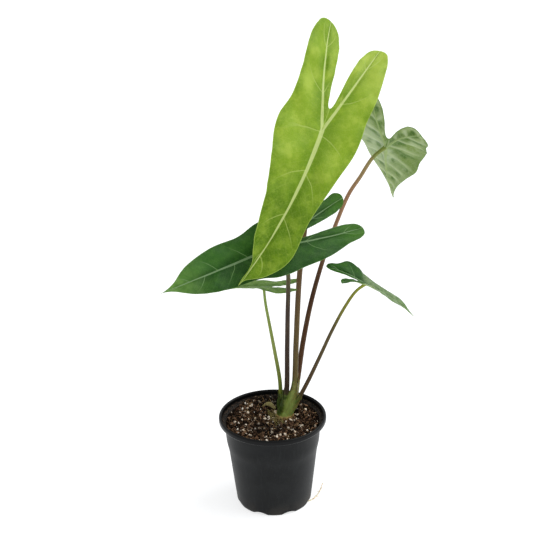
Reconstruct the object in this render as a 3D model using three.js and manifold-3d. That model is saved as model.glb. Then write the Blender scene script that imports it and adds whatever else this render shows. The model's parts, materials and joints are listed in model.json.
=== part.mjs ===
// A young alocasia in a plastic nursery pot, full of potting mix with perlite in it.
// Five stalked arrow-shaped leaves rise from a crown of sheathing leaf bases. The crown sits on a
// corm with its main roots, in a plain hole in the mix, and each stalk stands in a hole in the crown.
// Millimetres and degrees, z up. The origin is on the pot's axis, on the surface it stands on.
import * as THREE from "three";
import { mergeVertices } from "three/addons/utils/BufferGeometryUtils.js";
import Module from "manifold-3d";

const wasm = await Module();
wasm.setup();
const { Vector3, Vector2, Quaternion } = THREE;
const rad = THREE.MathUtils.degToRad;
const lerp = THREE.MathUtils.lerp;
const clamp = THREE.MathUtils.clamp;

// Driving dimensions
const GAP = 0.3; // clearance between pieces that rest on each other
const POT = {
  sides: 48,
  height: 98,
  rimDiameter: 111.2,
  lipHeight: 6,
  collarTopDiameter: 99.5,
  collarFootDiameter: 96.4,
  collarFootZ: 69,
  bodyTopDiameter: 91.8,
  bodyTopZ: 61,
  bodyFootDiameter: 79.6,
  bodyFootZ: 7,
  baseDiameter: 76.6,
  lipWidth: 4.6, // from the rim's edge to the inside of the lip
  lipOverhang: 3.4, // how far the lip stands out over the collar
  footRing: 1.9, // width of the ring that the pot stands on
  wall: 1.2,
  floorUnderside: 3.2,
  floorTop: 4.8,
  bossDiameter: 20, // flat pad in the middle of the underside
  notches: 8, // shallow arches round the foot, with a drain hole behind each
  notchWidth: 16,
  notchHeight: 3,
  drainDiameter: 7,
  drainCircle: 61,
};
const SOIL = {
  sides: 40,
  rings: [0.13, 0.27, 0.42, 0.57, 0.72, 0.87, 1], // shares of the reach to the wall
  level: 88,
  leftRise: 2.6, // the mix lies higher at the left and in front
  mound: 1.5,
  lumps: 0.7,
  bank: 4.5, // how much higher the mix lies against the wall, at its highest
  bankHeading: 125,
  perlite: 28,
  perliteRadius: [0.9, 1.9],
  chips: 10,
  chipSize: [6, 2.2, 1.4],
  spread: 43, // how far from the pot's axis the grains lie
  spacing: 4.6,
};
const CROWN = {
  foot: new Vector3(8.2, 17, 60),
  soilLine: new Vector3(12.6, 17, 88),
  top: new Vector3(15.8, 17, 103),
  radii: [3, 8.5, 11, 10.4, 9, 8.5, 8.5, 8.3, 6.2], // corm, neck and sheathing bases, foot to top
  sheathWall: 1.2, // how far a leaf base wraps its stalk
  roots: 6,
  rootLength: 30,
  rootRadii: [1.3, 0.5],
};
const WITHERED = {
  middle: new Vector3(-4, 30, 88), heading: 158, length: 16, reach: 9, rise: 4.2,
  turns: 150, thickness: 0.8,
};
const STRAY_ROOT = {
  radii: [0.8, 0.7, 0.55, 0.4],
  route: [[24, -10, 17], [27.4, -11.4, 10], [28.3, -11.8, 5], [30.2, -12.8, 2], [35, -14.2, 0.9],
    [39.5, -11.4, 0.8], [43, -7.6, 0.8], [46.8, -0.6, 0.8], [50.3, 10.4, 0.8], [52.7, 19.5, 1.4]],
};
const BLADE_THICKNESS = 0.8;
const RIB_TOP = 0.15; // share of a rib that stands out of the upper face
const PUFF = 0.028; // rise of the blade between side veins, as a share of its width

// Outline of a blade: stations from the tip, past the stalk's junction, to the end of a back lobe.
// A station is a share of the front length, or of the lobe's length where it is negative.
const STATIONS = [1, 0.955, 0.87, 0.73, 0.5, 0.25, 0.05, -0.2, -0.45, -0.7, -0.9, -1];
const ROWS = [1, 1, 2, 3, 3, 2, 2, 2, 2, 2, 3]; // mesh rows between stations, a side vein every second
const JUNCTION_STATION = 6;
const SINUS = 0.22; // share of the lobe's length that is joined across the notch
const NOTCH_STATIONS = [0.22, 0.33, 0.55, 0.78, 0.92, 1];
const NOTCH_WIDTHS = [0, 0.09, 0.16, 0.3, 0.43];
const OUTER_COLUMNS = [0, 0.09, 0.36, 0.7, 1];
const INNER_COLUMNS = [0, 0.2, 0.6, 1];
const FRAMES = 24; // steps in which a midrib bends

// Each leaf: where its stalk meets it, the way its tip points, its size, how it bends, the angles of
// its folds at the junction, the tip and the lobes, how far out along a rib a fold has settled to its
// end value, and its half widths at the stations after the tip.
// Headings turn from +x towards +y. Left and right are as seen from above, looking to the tip.
const LEAVES = {
  a: {
    junction: new Vector3(52.8, 10, 396.7), heading: -118.7, pitch: 46.1, roll: -33.4,
    front: 169.6, back: 110.3, width: 44.5, droop: 17.2, bend: 15.3, twist: -13.4, camber: 10.5,
    wave: 0.8, foldReach: 1,
    left: { droop: 23.4, spread: -2.3, turn: -2.6, fold: 11.6, tipFold: 22.5, lobeFold: 20,
      widths: [0.05, 0.36, 0.59, 0.53, 0.67, 0.84, 0.86, 0.93, 0.95, 0.93, 0.72] },
    right: { droop: 17.9, spread: -11.3, turn: -7.4, fold: 13.4, tipFold: 25.7, lobeFold: 19.8,
      widths: [0.04, 0.05, 0.37, 0.62, 0.89, 1.02, 0.89, 0.91, 1.03, 1.04, 0.77] },
    stalk: { color: 0x6b5238, radii: [3, 2.75, 2.2], sheathTop: 126,
      route: [[17.8, 16.2, 97.5], [19.6, 15.6, 105], [23, 15.4, 118], [25.7, 18, 168], [28.5, 24, 216],
        [31, 28, 247], [35.5, 30, 284], [40.7, 30, 321], [48.5, 24, 360]] },
    color: 0x8fae3a,
  },
  b: {
    junction: new Vector3(5.1, -24, 292.7), heading: -150.5, pitch: 10.5, roll: -47.5,
    front: 121.4, back: 97.8, width: 31.1, droop: 7, bend: 4, twist: 0.2, camber: 9.1,
    wave: 0.7, foldReach: 1,
    left: { droop: 19.1, spread: -12.1, turn: 0.8, fold: 10.1, tipFold: 17.1, lobeFold: 9.4,
      widths: [0.02, 0.16, 0.49, 0.71, 0.78, 0.99, 0.99, 1.02, 0.95, 0.97, 0.74] },
    right: { droop: 19.2, spread: -2.1, turn: 0.7, fold: 10, tipFold: 17.1, lobeFold: 11.3,
      widths: [0.02, 0.15, 0.49, 0.72, 0.73, 0.9, 0.93, 0.96, 0.8, 0.97, 0.75] },
    stalk: { color: 0x46382c, radii: [2.4, 2.15, 1.85], sheathTop: 115,
      route: [[11.8, 13.4, 97.5], [13.6, 13.6, 105], [15.4, 13.8, 120], [16.4, 10.5, 166], [17.4, 3.5, 209],
        [18.2, -4, 240], [17.6, -10, 262]] },
    color: 0x2f6a31,
  },
  c: {
    junction: new Vector3(122.6, 90, 355.8), heading: 89.7, pitch: 42.8, roll: 31.2,
    front: 102.8, back: 80, width: 41.2, droop: 0.7, bend: 22.9, twist: 24.3, camber: 10.6,
    wave: 0.4, foldReach: 1,
    left: { droop: -13, spread: -4, turn: 5.2, fold: 7.9, tipFold: 21.1, lobeFold: 8,
      widths: [0.03, 0.13, 0.49, 0.67, 0.77, 0.98, 1, 0.98, 0.97, 0.88, 0.7] },
    right: { droop: -15.4, spread: 16.2, turn: 26.5, fold: 8.5, tipFold: 10.7, lobeFold: 13.8,
      widths: [0.03, 0.11, 0.27, 0.57, 0.87, 0.92, 1.01, 1.04, 0.99, 0.98, 0.74] },
    stalk: { color: 0x73573c, radii: [3, 2.6, 2.1, 1.9], sheathTop: 122,
      route: [[20.2, 22.2, 97.5], [22.6, 22.6, 105], [25.9, 24, 118.5], [33.7, 32, 166], [43.2, 42, 208],
        [56.1, 55, 248], [69.2, 65, 281], [83.3, 72, 312], [94.7, 77, 327.6], [108.5, 84, 346.3]] },
    color: 0x5f8a48,
  },
  d: {
    junction: new Vector3(-6, 36, 226), heading: 163.6, pitch: 4.9, roll: 5.9,
    front: 42, back: 37.4, width: 14.8, droop: 11, bend: 7.7, twist: -3, camber: 8.4,
    wave: 0.4, foldReach: 0.5,
    left: { droop: 0, spread: -3, turn: 0, fold: 12, tipFold: 16, lobeFold: -14,
      widths: [0.04, 0.22, 0.43, 0.63, 0.84, 0.99, 0.98, 0.96, 0.96, 0.88, 0.7] },
    right: { droop: -11.7, spread: 4.7, turn: -7.2, fold: 13.8, tipFold: 22, lobeFold: 13.6,
      widths: [0.04, 0.22, 0.43, 0.62, 0.82, 0.97, 0.92, 0.99, 0.98, 0.88, 0.7] },
    stalk: { color: 0x5f7a38, radii: [2.1, 1.7, 1.3], sheathTop: 110,
      route: [[8.6, 21, 97.5], [9, 21.6, 105], [8.4, 24, 125], [3.6, 29, 157], [-1.8, 33, 190],
        [-4.6, 35, 208]] },
    color: 0x3c7034,
  },
  e: {
    junction: new Vector3(92.9, -20, 250.4), heading: 14.3, pitch: 30.9, roll: 5.3,
    front: 68.2, back: 38.4, width: 20.1, droop: 17.4, bend: -3.3, twist: 15, camber: 8.8,
    wave: 0.5, foldReach: 0.2,
    left: { droop: 22.2, spread: -5.1, turn: -5.4, fold: 16.1, tipFold: 8.8, lobeFold: 33.9,
      widths: [0.04, 0.18, 0.48, 0.48, 0.64, 0.85, 0.88, 1.15, 0.93, 1.03, 0.79] },
    right: { droop: 10.8, spread: 21.6, turn: 2.6, fold: 24.6, tipFold: 14.2, lobeFold: 27.6,
      widths: [0.03, 0.1, 0.06, 0.56, 0.56, 0.66, 0.86, 0.84, 0.82, 0.94, 0.72] },
    stalk: { color: 0x5a4a33, radii: [1.9, 1.5, 1.2], sheathTop: 110,
      route: [[23.2, 13, 97.5], [27, 12.6, 105], [37.4, 9.2, 130], [49.6, 3, 162], [61.7, -5, 195],
        [73.4, -11, 222], [83.9, -16, 241]] },
    color: 0x4f8040,
  },
};

// Seeded random numbers, so every build is the same
function randomSource(seed) {
  let state = seed;
  return () => {
    state = (state + 0x6d2b79f5) | 0;
    let mixed = Math.imul(state ^ (state >>> 15), 1 | state);
    mixed = (mixed + Math.imul(mixed ^ (mixed >>> 7), 61 | mixed)) ^ mixed;
    return ((mixed ^ (mixed >>> 14)) >>> 0) / 4294967296;
  };
}

// Solids for joining and cutting
function toSolid(geometry) {
  const bare = geometry.clone();
  bare.deleteAttribute("normal");
  bare.deleteAttribute("uv");
  const merged = mergeVertices(bare, 1e-4);
  return new wasm.Manifold(new wasm.Mesh({
    numProp: 3,
    vertProperties: new Float32Array(merged.attributes.position.array),
    triVerts: new Uint32Array(merged.index.array),
  }));
}

function toGeometry(solid) {
  const mesh = solid.getMesh();
  const geometry = new THREE.BufferGeometry();
  geometry.setAttribute("position", new THREE.BufferAttribute(mesh.vertProperties.slice(), 3));
  geometry.setIndex(new THREE.BufferAttribute(mesh.triVerts.slice(), 1));
  return geometry;
}

// The largest body of a solid, without the loose scraps that a cut leaves
function mainBody(solid) {
  return solid.decompose().reduce((best, body) => (body.volume() > best.volume() ? body : best));
}

function closedGeometry(points, triangles) {
  const geometry = new THREE.BufferGeometry();
  geometry.setAttribute("position", new THREE.Float32BufferAttribute(points.flatMap((p) => p.toArray()), 3));
  geometry.setIndex(triangles.flat());
  return geometry;
}

// A round stem along a curve, with its radius drawn through the given radii from foot to top
function stem(points, radii, sides, steps) {
  const curve = new THREE.CatmullRomCurve3(points);
  const frames = curve.computeFrenetFrames(steps, false);
  const ringPoints = [];
  const triangles = [];
  for (let i = 0; i <= steps; i += 1) {
    const centre = curve.getPointAt(i / steps);
    const place = (i / steps) * (radii.length - 1);
    const lower = Math.min(Math.floor(place), radii.length - 2);
    const radius = lerp(radii[lower], radii[lower + 1], place - lower);
    for (let j = 0; j < sides; j += 1) {
      const angle = (2 * Math.PI * j) / sides;
      ringPoints.push(centre.clone()
        .addScaledVector(frames.normals[i], radius * Math.cos(angle))
        .addScaledVector(frames.binormals[i], radius * Math.sin(angle)));
      const next = (j + 1) % sides;
      if (i < steps) {
        const here = i * sides;
        const there = here + sides;
        triangles.push([here + j, here + next, there + next], [here + j, there + next, there + j]);
      }
    }
  }
  const last = steps * sides;
  for (let j = 1; j < sides - 1; j += 1) {
    triangles.push([0, j + 1, j], [last, last + j, last + j + 1]);
  }
  return closedGeometry(ringPoints, triangles);
}

// A route made longer at both ends, for the hole that a stem stands in
function lengthened(route, extra) {
  const first = route[0].clone();
  const last = route.at(-1).clone();
  first.lerp(route[1], -extra / first.distanceTo(route[1]));
  last.lerp(route.at(-2), -extra / last.distanceTo(route.at(-2)));
  return [first, ...route.slice(1, -1), last];
}

const toVectors = (places) => places.map((place) => new Vector3(...place));
const widened = (radii, extra) => radii.map((radius) => radius + extra);

// Blade outline and bent surface

// Smooth curve through a list of numbers, at a place counted in list steps
function through(values, place) {
  const last = values.length - 1;
  const k = clamp(Math.floor(place), 0, last - 1);
  const f = place - k;
  const before = k > 0 ? values[k - 1] : 2 * values[0] - values[1];
  const after = k < last - 1 ? values[k + 2] : 2 * values[last] - values[last - 1];
  const [p, q] = [values[k], values[k + 1]];
  return 0.5 * (2 * p + (q - before) * f + (2 * before - 5 * p + 4 * q - after) * f * f
    + (3 * p - before - 3 * q + after) * f ** 3);
}

function firstFrame(leaf) {
  const [heading, pitch] = [rad(leaf.heading), rad(leaf.pitch)];
  const level = Math.cos(pitch);
  const along = new Vector3(Math.cos(heading) * level, Math.sin(heading) * level, -Math.sin(pitch));
  const right = new Vector3(Math.sin(heading), -Math.cos(heading), 0);
  const up = new Vector3().crossVectors(right, along);
  right.applyAxisAngle(along, rad(leaf.roll));
  up.applyAxisAngle(along, rad(leaf.roll));
  return { place: new Vector3(), along, right, up };
}

// Frames along a rib of the blade, bent evenly from the start distance on. Droop bends it towards
// its underside, bend turns it to its right and twist rolls it. A lobe's rib has a negative length.
function bendRib(first, length, droop, bend, twist, start) {
  const sense = Math.sign(length);
  const step = length / FRAMES;
  const shares = Array.from({ length: FRAMES }, (_, k) =>
    clamp((k + 0.5) - (start / Math.abs(length)) * FRAMES + 0.5, 0, 1));
  const total = shares.reduce((sum, share) => sum + share, 0);
  const frames = [first];
  let { place, along, right, up } = first;
  for (const share of shares) {
    const half = rad(1) * share / total / 2;
    place = place.clone();
    for (const part of [0, 1]) {
      const turn = new Quaternion().setFromAxisAngle(right, -sense * droop * half)
        .multiply(new Quaternion().setFromAxisAngle(up, -sense * bend * half))
        .multiply(new Quaternion().setFromAxisAngle(along, twist * half));
      along = along.clone().applyQuaternion(turn);
      right = right.clone().applyQuaternion(turn);
      up = up.clone().applyQuaternion(turn);
      if (part === 0) place.addScaledVector(along, step);
    }
    frames.push({ place, along, right, up });
  }
  return frames;
}

// Sideways and upward reach of an arc that starts at a slope and has a curvature
function arcReach(slope, curvature, run) {
  return [(Math.sin(slope + curvature * run) - Math.sin(slope)) / curvature,
    (Math.cos(slope) - Math.cos(slope + curvature * run)) / curvature];
}

// The bent middle surface of a blade, as a function of the flat place (s along, t to the right)
function bladeSurface(leaf) {
  const first = firstFrame(leaf);
  const frontRib = bendRib(first, leaf.front, leaf.droop, leaf.bend, leaf.twist, 0);
  const join = SINUS * leaf.back;
  const backRibs = {
    left: bendRib(first, -leaf.back, leaf.left.droop, -leaf.left.spread, -leaf.left.turn, join),
    right: bendRib(first, -leaf.back, leaf.right.droop, leaf.right.spread, leaf.right.turn, join),
  };
  const curl = -rad(leaf.camber) / leaf.width;
  return (s, t) => {
    const name = t < 0 ? "left" : "right";
    const side = leaf[name];
    const ahead = s >= 0;
    const rib = ahead ? frontRib : backRibs[name];
    const share = clamp(Math.abs(s) / (ahead ? leaf.front : leaf.back), 0, 1.02);
    const k = Math.min(Math.floor(share * FRAMES), FRAMES - 1);
    const f = share * FRAMES - k;
    const place = rib[k].place.clone().lerp(rib[k + 1].place, f);
    const right = rib[k].right.clone().lerp(rib[k + 1].right, f);
    const up = rib[k].up.clone().lerp(rib[k + 1].up, f);
    const reach = Math.abs(t);
    const flat = ahead ? 0 : Math.min(reach, side.widths.at(-1) * leaf.width * share);
    const settled = Math.min(1, share / leaf.foldReach);
    const slope = rad(lerp(side.fold, ahead ? side.tipFold : side.lobeFold, settled));
    const [out, rise] = arcReach(slope, curl, reach - flat);
    const ripple = leaf.wave * Math.sin(0.16 * s + (t < 0 ? 2 : 0)) * (reach / leaf.width) ** 2;
    return place.addScaledVector(right, Math.sign(t) * (flat + out))
      .addScaledVector(up, rise + ripple)
      .add(leaf.junction);
  };
}

function surfaceNormal(surface, s, t) {
  const across = surface(s, t + 0.8).sub(surface(s, t - 0.8));
  const along = surface(s + 0.8, t).sub(surface(s - 0.8, t));
  return across.cross(along).normalize();
}

// Rows of the blade's mesh, counted in stations: a side vein runs along every second one
const ROW_PLACES = STATIONS.flatMap((_, k) =>
  Array.from({ length: ROWS[k] ?? 1 }, (__, j) => k + j / (ROWS[k] ?? 1)));
const JUNCTION_ROW = ROW_PLACES.indexOf(JUNCTION_STATION);

// The flat place on the midrib or a lobe's rib where a row starts, and how far the rib stands out
function ribStart(leaf, side, place) {
  const foot = STATIONS[JUNCTION_STATION];
  if (place < JUNCTION_STATION) {
    const ahead = Math.max(0, (through(STATIONS, place) - foot) / (1 - foot));
    return { s: ahead ** 1.12 * leaf.front, t: 0, rib: (1.5 - 1.2 * ahead) * leaf.width / 45 };
  }
  const behind = (place - JUNCTION_STATION) / (STATIONS.length - 1 - JUNCTION_STATION);
  const t = behind * side.widths.at(-1) * leaf.width;
  return { s: -behind * leaf.back, t, rib: (1.5 - 1.3 * behind) * leaf.width / 45 };
}

// The last step of a lobe's outline: from one place towards the lobe's end as a quarter of an ellipse
function quarterRound(from, to, step) {
  const turn = step * Math.PI / 2;
  return {
    share: lerp(from.share, to.share, Math.sin(turn)),
    width: lerp(to.width, from.width, Math.cos(turn)),
  };
}

function marginPoint(leaf, side, place) {
  const widths = [0, ...side.widths];
  const last = STATIONS.length - 1;
  const end = (k) => ({ share: STATIONS.at(k), width: widths.at(k) });
  const { share, width } = place > last - 1 ? quarterRound(end(-2), end(-1), place - last + 1)
    : { share: through(STATIONS, place), width: through(widths, place) };
  return { s: share * (share > 0 ? leaf.front : leaf.back), t: width * leaf.width };
}

// Where a row ends inside a lobe: on the line between the lobes, then on the notch's edge
function notchPoint(leaf, side, place) {
  const joined = JUNCTION_STATION + 1;
  if (place <= joined) return { s: -SINUS * leaf.back * (place - JUNCTION_STATION), t: 0 };
  const last = NOTCH_STATIONS.length - 1;
  const step = (place - joined) / (STATIONS.length - 1 - joined) * last;
  const widths = [...NOTCH_WIDTHS, side.widths.at(-1)];
  const end = (k) => ({ share: NOTCH_STATIONS.at(k), width: widths.at(k) });
  const foot = step < 1 ? widths[1] * Math.sqrt(step) : through(widths, step);
  const { share, width } = step > last - 1 ? quarterRound(end(-2), end(-1), step - last + 1)
    : { share: through(NOTCH_STATIONS, step), width: foot };
  return { s: -share * leaf.back, t: width * leaf.width };
}

// A blade as one thin solid: rows of points run from its ribs to its margins, on both faces
function blade(leaf) {
  const surface = bladeSurface(leaf);
  const points = [];
  const index = new Map();
  const triangles = [];
  const vertex = (s, t, rib, puff) => {
    const key = `${Math.round(s * 1000)} ${Math.round(t * 1000)}`;
    if (!index.has(key)) {
      index.set(key, points.length / 2);
      const normal = surfaceNormal(surface, s, t);
      const middle = surface(s, t).addScaledVector(normal, puff);
      points.push(middle.clone().addScaledVector(normal, BLADE_THICKNESS / 2 + RIB_TOP * rib));
      points.push(middle.clone().addScaledVector(normal, -BLADE_THICKNESS / 2 - rib));
    }
    return index.get(key);
  };
  const row = (from, to, columns, sign, puff) => columns.map((c) =>
    vertex(lerp(from.s, to.s, c), sign * lerp(from.t, to.t, c), c === 0 ? from.rib : 0,
      c > columns[1] && c < 1 ? puff : 0));
  const weave = (rows, flip) => {
    for (let r = 0; r < rows.length - 1; r += 1) {
      const [near, far] = [rows[r], rows[r + 1]];
      for (let c = 0; c < near.length - 1; c += 1) {
        const halves = [[near[c], near[c + 1], far[c + 1]], [near[c], far[c + 1], far[c]]];
        for (const [p, q, u] of halves) {
          if (p !== q && q !== u && u !== p) triangles.push(flip ? [p, u, q] : [p, q, u]);
        }
      }
    }
  };
  for (const [side, sign] of [[leaf.left, -1], [leaf.right, 1]]) {
    const outer = ROW_PLACES.map((place, r) => {
      const margin = marginPoint(leaf, side, place);
      const puff = r % 2 ? PUFF * Math.min(leaf.width, 2 * margin.t) : 0;
      return row(ribStart(leaf, side, place), margin, OUTER_COLUMNS, sign, puff);
    });
    const inner = ROW_PLACES.slice(JUNCTION_ROW).map((place) =>
      row(ribStart(leaf, side, place), notchPoint(leaf, side, place), INNER_COLUMNS, sign, 0));
    weave(outer, sign > 0);
    weave(inner, sign < 0);
  }
  return thickSheet(points, triangles);
}

// Closes a sheet whose points come in pairs, upper then lower, with a rim along its open edges
function thickSheet(points, triangles) {
  const faces = [];
  const edges = new Map();
  for (const [p, q, r] of triangles) {
    faces.push([2 * p, 2 * q, 2 * r], [2 * p + 1, 2 * r + 1, 2 * q + 1]);
    for (const [from, to] of [[p, q], [q, r], [r, p]]) edges.set(`${from} ${to}`, [from, to]);
  }
  for (const [from, to] of edges.values()) {
    if (!edges.has(`${to} ${from}`)) {
      faces.push([2 * from, 2 * from + 1, 2 * to + 1], [2 * from, 2 * to + 1, 2 * to]);
    }
  }
  return closedGeometry(points, faces);
}

// Stalks

const STALK_SIDES = 8;

// A leaf's stalk as a solid: it starts in its hole in the crown and ends under the blade's junction,
// trimmed parallel to the blade. The extra widens and lengthens it, for the hole that it stands in.
function stalk(leaf, extra) {
  const route = toVectors(leaf.stalk.route);
  const { junction } = leaf;
  const arrival = junction.clone().sub(route.at(-1)).normalize();
  route.push(junction, junction.clone().addScaledVector(arrival, 2));
  const radii = widened(leaf.stalk.radii, extra);
  const whole = toSolid(stem(lengthened(route, extra), radii, STALK_SIDES, Math.round(junction.z / 20)));
  const below = firstFrame(leaf).up.negate();
  const { rib } = ribStart(leaf, leaf.left, JUNCTION_STATION);
  const distance = below.dot(junction) + BLADE_THICKNESS / 2 + rib + GAP;
  return whole.trimByPlane(below.toArray(), distance);
}

// Crown: the corm and its roots, the short neck, and the leaf bases that wrap each stalk

function crownCore(extra) {
  const { foot, soilLine, top, radii } = CROWN;
  const route = [foot, foot.clone().lerp(soilLine, 0.5), soilLine, top];
  return toSolid(stem(lengthened(route, extra), widened(radii, extra), 14, 14));
}

function rootRoute(k) {
  const random = randomSource(40 + k);
  const heading = 2 * Math.PI * (k + 0.5 * random()) / CROWN.roots;
  const start = CROWN.foot.clone().lerp(CROWN.soilLine, 0.25);
  const outwards = new Vector3(Math.cos(heading), Math.sin(heading), 0);
  return [0, 0.3, 0.65, 1].map((share) => start.clone()
    .addScaledVector(outwards, 3 + CROWN.rootLength * share * (0.25 + 0.25 * random()))
    .add(new Vector3(0, 0, -CROWN.rootLength * share ** 1.4 * (0.7 + 0.4 * random()))));
}

function mainRoots(extra) {
  const roots = Array.from({ length: CROWN.roots }, (_, k) =>
    toSolid(stem(lengthened(rootRoute(k), extra), widened(CROWN.rootRadii, extra), 5, 6)));
  return wasm.Manifold.union(roots);
}

// A leaf base: from inside the neck, along its stalk to the sheath's top
function sheath(leaf) {
  const route = toVectors(leaf.stalk.route);
  const foot = CROWN.soilLine.clone().lerp(route[0], 0.35);
  const above = route.filter((p) => p.z < leaf.stalk.sheathTop - 1);
  const over = route.find((p) => p.z >= leaf.stalk.sheathTop - 1);
  const last = above.at(-1).clone();
  const end = last.lerp(over, (leaf.stalk.sheathTop - last.z) / (over.z - last.z));
  const radius = leaf.stalk.radii[0] + CROWN.sheathWall;
  return toSolid(stem([foot, ...above, end], [radius, radius + 0.3, radius, radius - 0.5], 10, 6));
}

function crown() {
  const leaves = Object.values(LEAVES);
  const body = wasm.Manifold.union([crownCore(0), mainRoots(0), ...leaves.map(sheath)]);
  const holes = leaves.map((leaf) => stalk(leaf, GAP));
  return toGeometry(body.subtract(wasm.Manifold.union(holes)));
}

// Pot

function latheSolid(profile, sides) {
  const points = profile.map(([r, z]) => new Vector2(r, z));
  return toSolid(new THREE.LatheGeometry(points, sides).rotateX(Math.PI / 2));
}

// Inside of the pot, from the middle of its floor up, with a clearance for what fills it
function potInside(clearance) {
  const foot = POT.bodyFootDiameter / 2 - POT.wall - clearance;
  const top = POT.bodyTopDiameter / 2 - POT.wall - clearance;
  const collarFoot = POT.collarFootDiameter / 2 - POT.wall - clearance;
  const collarTop = POT.collarTopDiameter / 2 - POT.wall - clearance;
  const floor = POT.floorTop + clearance;
  return [[0, floor], [foot - 2.2, floor], [foot - 1, floor + 0.6], [foot, POT.bodyFootZ + 1.5],
    [top, POT.bodyTopZ], [collarFoot, POT.collarFootZ], [collarTop, POT.height - POT.lipHeight - 1.5]];
}

function potProfile() {
  const rim = POT.rimDiameter / 2;
  const base = POT.baseDiameter / 2;
  const boss = POT.bossDiameter / 2;
  const lipFoot = POT.height - POT.lipHeight;
  const { height, floorUnderside, lipWidth, lipOverhang } = POT;
  const outside = [[0, 0], [boss, 0], [boss + 0.8, floorUnderside],
    [base - POT.footRing - 0.5, floorUnderside], [base - POT.footRing, 0], [base, 0], [base + 0.9, 2],
    [POT.bodyFootDiameter / 2, POT.bodyFootZ],
    [POT.bodyTopDiameter / 2, POT.bodyTopZ], [POT.collarFootDiameter / 2, POT.collarFootZ],
    [POT.collarTopDiameter / 2, lipFoot - 1], [rim - lipOverhang, lipFoot - 0.4], [rim - 0.8, lipFoot],
    [rim, lipFoot + 1.1], [rim, height - 1.6], [rim - 0.6, height - 0.4], [rim - 1.8, height]];
  const lipInside = [[rim - lipWidth + 1.6, height - 0.2], [rim - lipWidth + 0.6, height - 1.2],
    [rim - lipWidth, lipFoot + 0.6]];
  return [...outside, ...lipInside, ...potInside(0).reverse()];
}

function pot() {
  const body = latheSolid(potProfile(), POT.sides);
  const arch = (POT.notchWidth ** 2 / 4 + POT.notchHeight ** 2) / (2 * POT.notchHeight);
  const cuts = [];
  for (let k = 0; k < POT.notches; k += 1) {
    const heading = 2 * Math.PI * (k + 0.5) / POT.notches;
    const notch = new THREE.CylinderGeometry(arch, arch, 14, 36).rotateZ(Math.PI / 2)
      .translate(POT.baseDiameter / 2, 0, POT.notchHeight - arch);
    const drain = new THREE.CylinderGeometry(POT.drainDiameter / 2, POT.drainDiameter / 2, 6, 8)
      .rotateX(Math.PI / 2).translate(POT.drainCircle / 2, 0, POT.floorTop);
    cuts.push(toSolid(notch.rotateZ(heading)), toSolid(drain.rotateZ(heading)));
  }
  return toGeometry(body.subtract(wasm.Manifold.union(cuts)));
}

// Potting mix

function soilHeight(x, y) {
  const slope = -SOIL.leftRise * (0.8 * x + 0.5 * y) / 48;
  const mound = SOIL.mound * Math.exp(-((x - CROWN.soilLine.x) ** 2 + (y - CROWN.soilLine.y) ** 2) / 260);
  const lumps = Math.sin(0.41 * x + 0.6) * Math.cos(0.37 * y - 0.3)
    + 0.6 * Math.sin(0.23 * x - 0.52 * y + 1.9);
  const towardsBank = Math.max(0, Math.cos(Math.atan2(y, x) - rad(SOIL.bankHeading)));
  const bank = SOIL.bank * towardsBank * THREE.MathUtils.smoothstep(Math.hypot(x, y), 14, 46);
  return SOIL.level + slope + mound + bank + SOIL.lumps * lumps;
}

function soilBody() {
  const inside = potInside(GAP);
  const [collarTop, topZ] = inside.at(-1);
  const [collarFoot, footZ] = inside.at(-2);
  const { sides, rings } = SOIL;
  const points = [new Vector3(0, 0, soilHeight(0, 0))];
  const addRing = (place) => {
    for (let j = 0; j < sides; j += 1) points.push(place(2 * Math.PI * j / sides));
  };
  for (const share of rings) {
    addRing((angle) => {
      const reach = lerp(collarFoot, collarTop, (SOIL.level - footZ) / (topZ - footZ)) - 0.3;
      const [x, y] = [share * reach * Math.cos(angle), share * reach * Math.sin(angle)];
      return new Vector3(x, y, soilHeight(x, y));
    });
  }
  for (const [r, z] of inside.slice(1, -1).reverse()) {
    addRing((angle) => new Vector3(r * Math.cos(angle), r * Math.sin(angle), z));
  }
  points.push(new Vector3(0, 0, inside[0][1]));
  const triangles = [];
  const count = (points.length - 2) / sides;
  for (let j = 0; j < sides; j += 1) {
    const next = (j + 1) % sides;
    triangles.push([0, 1 + j, 1 + next]);
    for (let i = 0; i < count - 1; i += 1) {
      const [here, there] = [1 + i * sides, 1 + (i + 1) * sides];
      triangles.push([here + j, there + j, there + next], [here + j, there + next, here + next]);
    }
    const last = 1 + (count - 1) * sides;
    triangles.push([points.length - 1, last + next, last + j]);
  }
  return toSolid(closedGeometry(points, triangles));
}

// Places spread over the top of the mix, clear of the wall and of the crown
function soilPlaces(count, seed) {
  const random = randomSource(seed);
  const places = [];
  while (places.length < count) {
    const reach = SOIL.spread * Math.sqrt(random());
    const angle = 2 * Math.PI * random();
    const [x, y] = [reach * Math.cos(angle), reach * Math.sin(angle)];
    const clearOfCrown = Math.hypot(x - CROWN.soilLine.x, y - CROWN.soilLine.y) > 14;
    const clearOfSheath = Math.hypot(x - WITHERED.middle.x, y - WITHERED.middle.y) > 13;
    const spaced = places.every((p) => Math.hypot(p.x - x, p.y - y) > SOIL.spacing);
    if (clearOfCrown && clearOfSheath && spaced) {
      places.push({ x, y, turn: 2 * Math.PI * random(), tilt: random() - 0.5, size: random() });
    }
  }
  return places;
}

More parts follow.
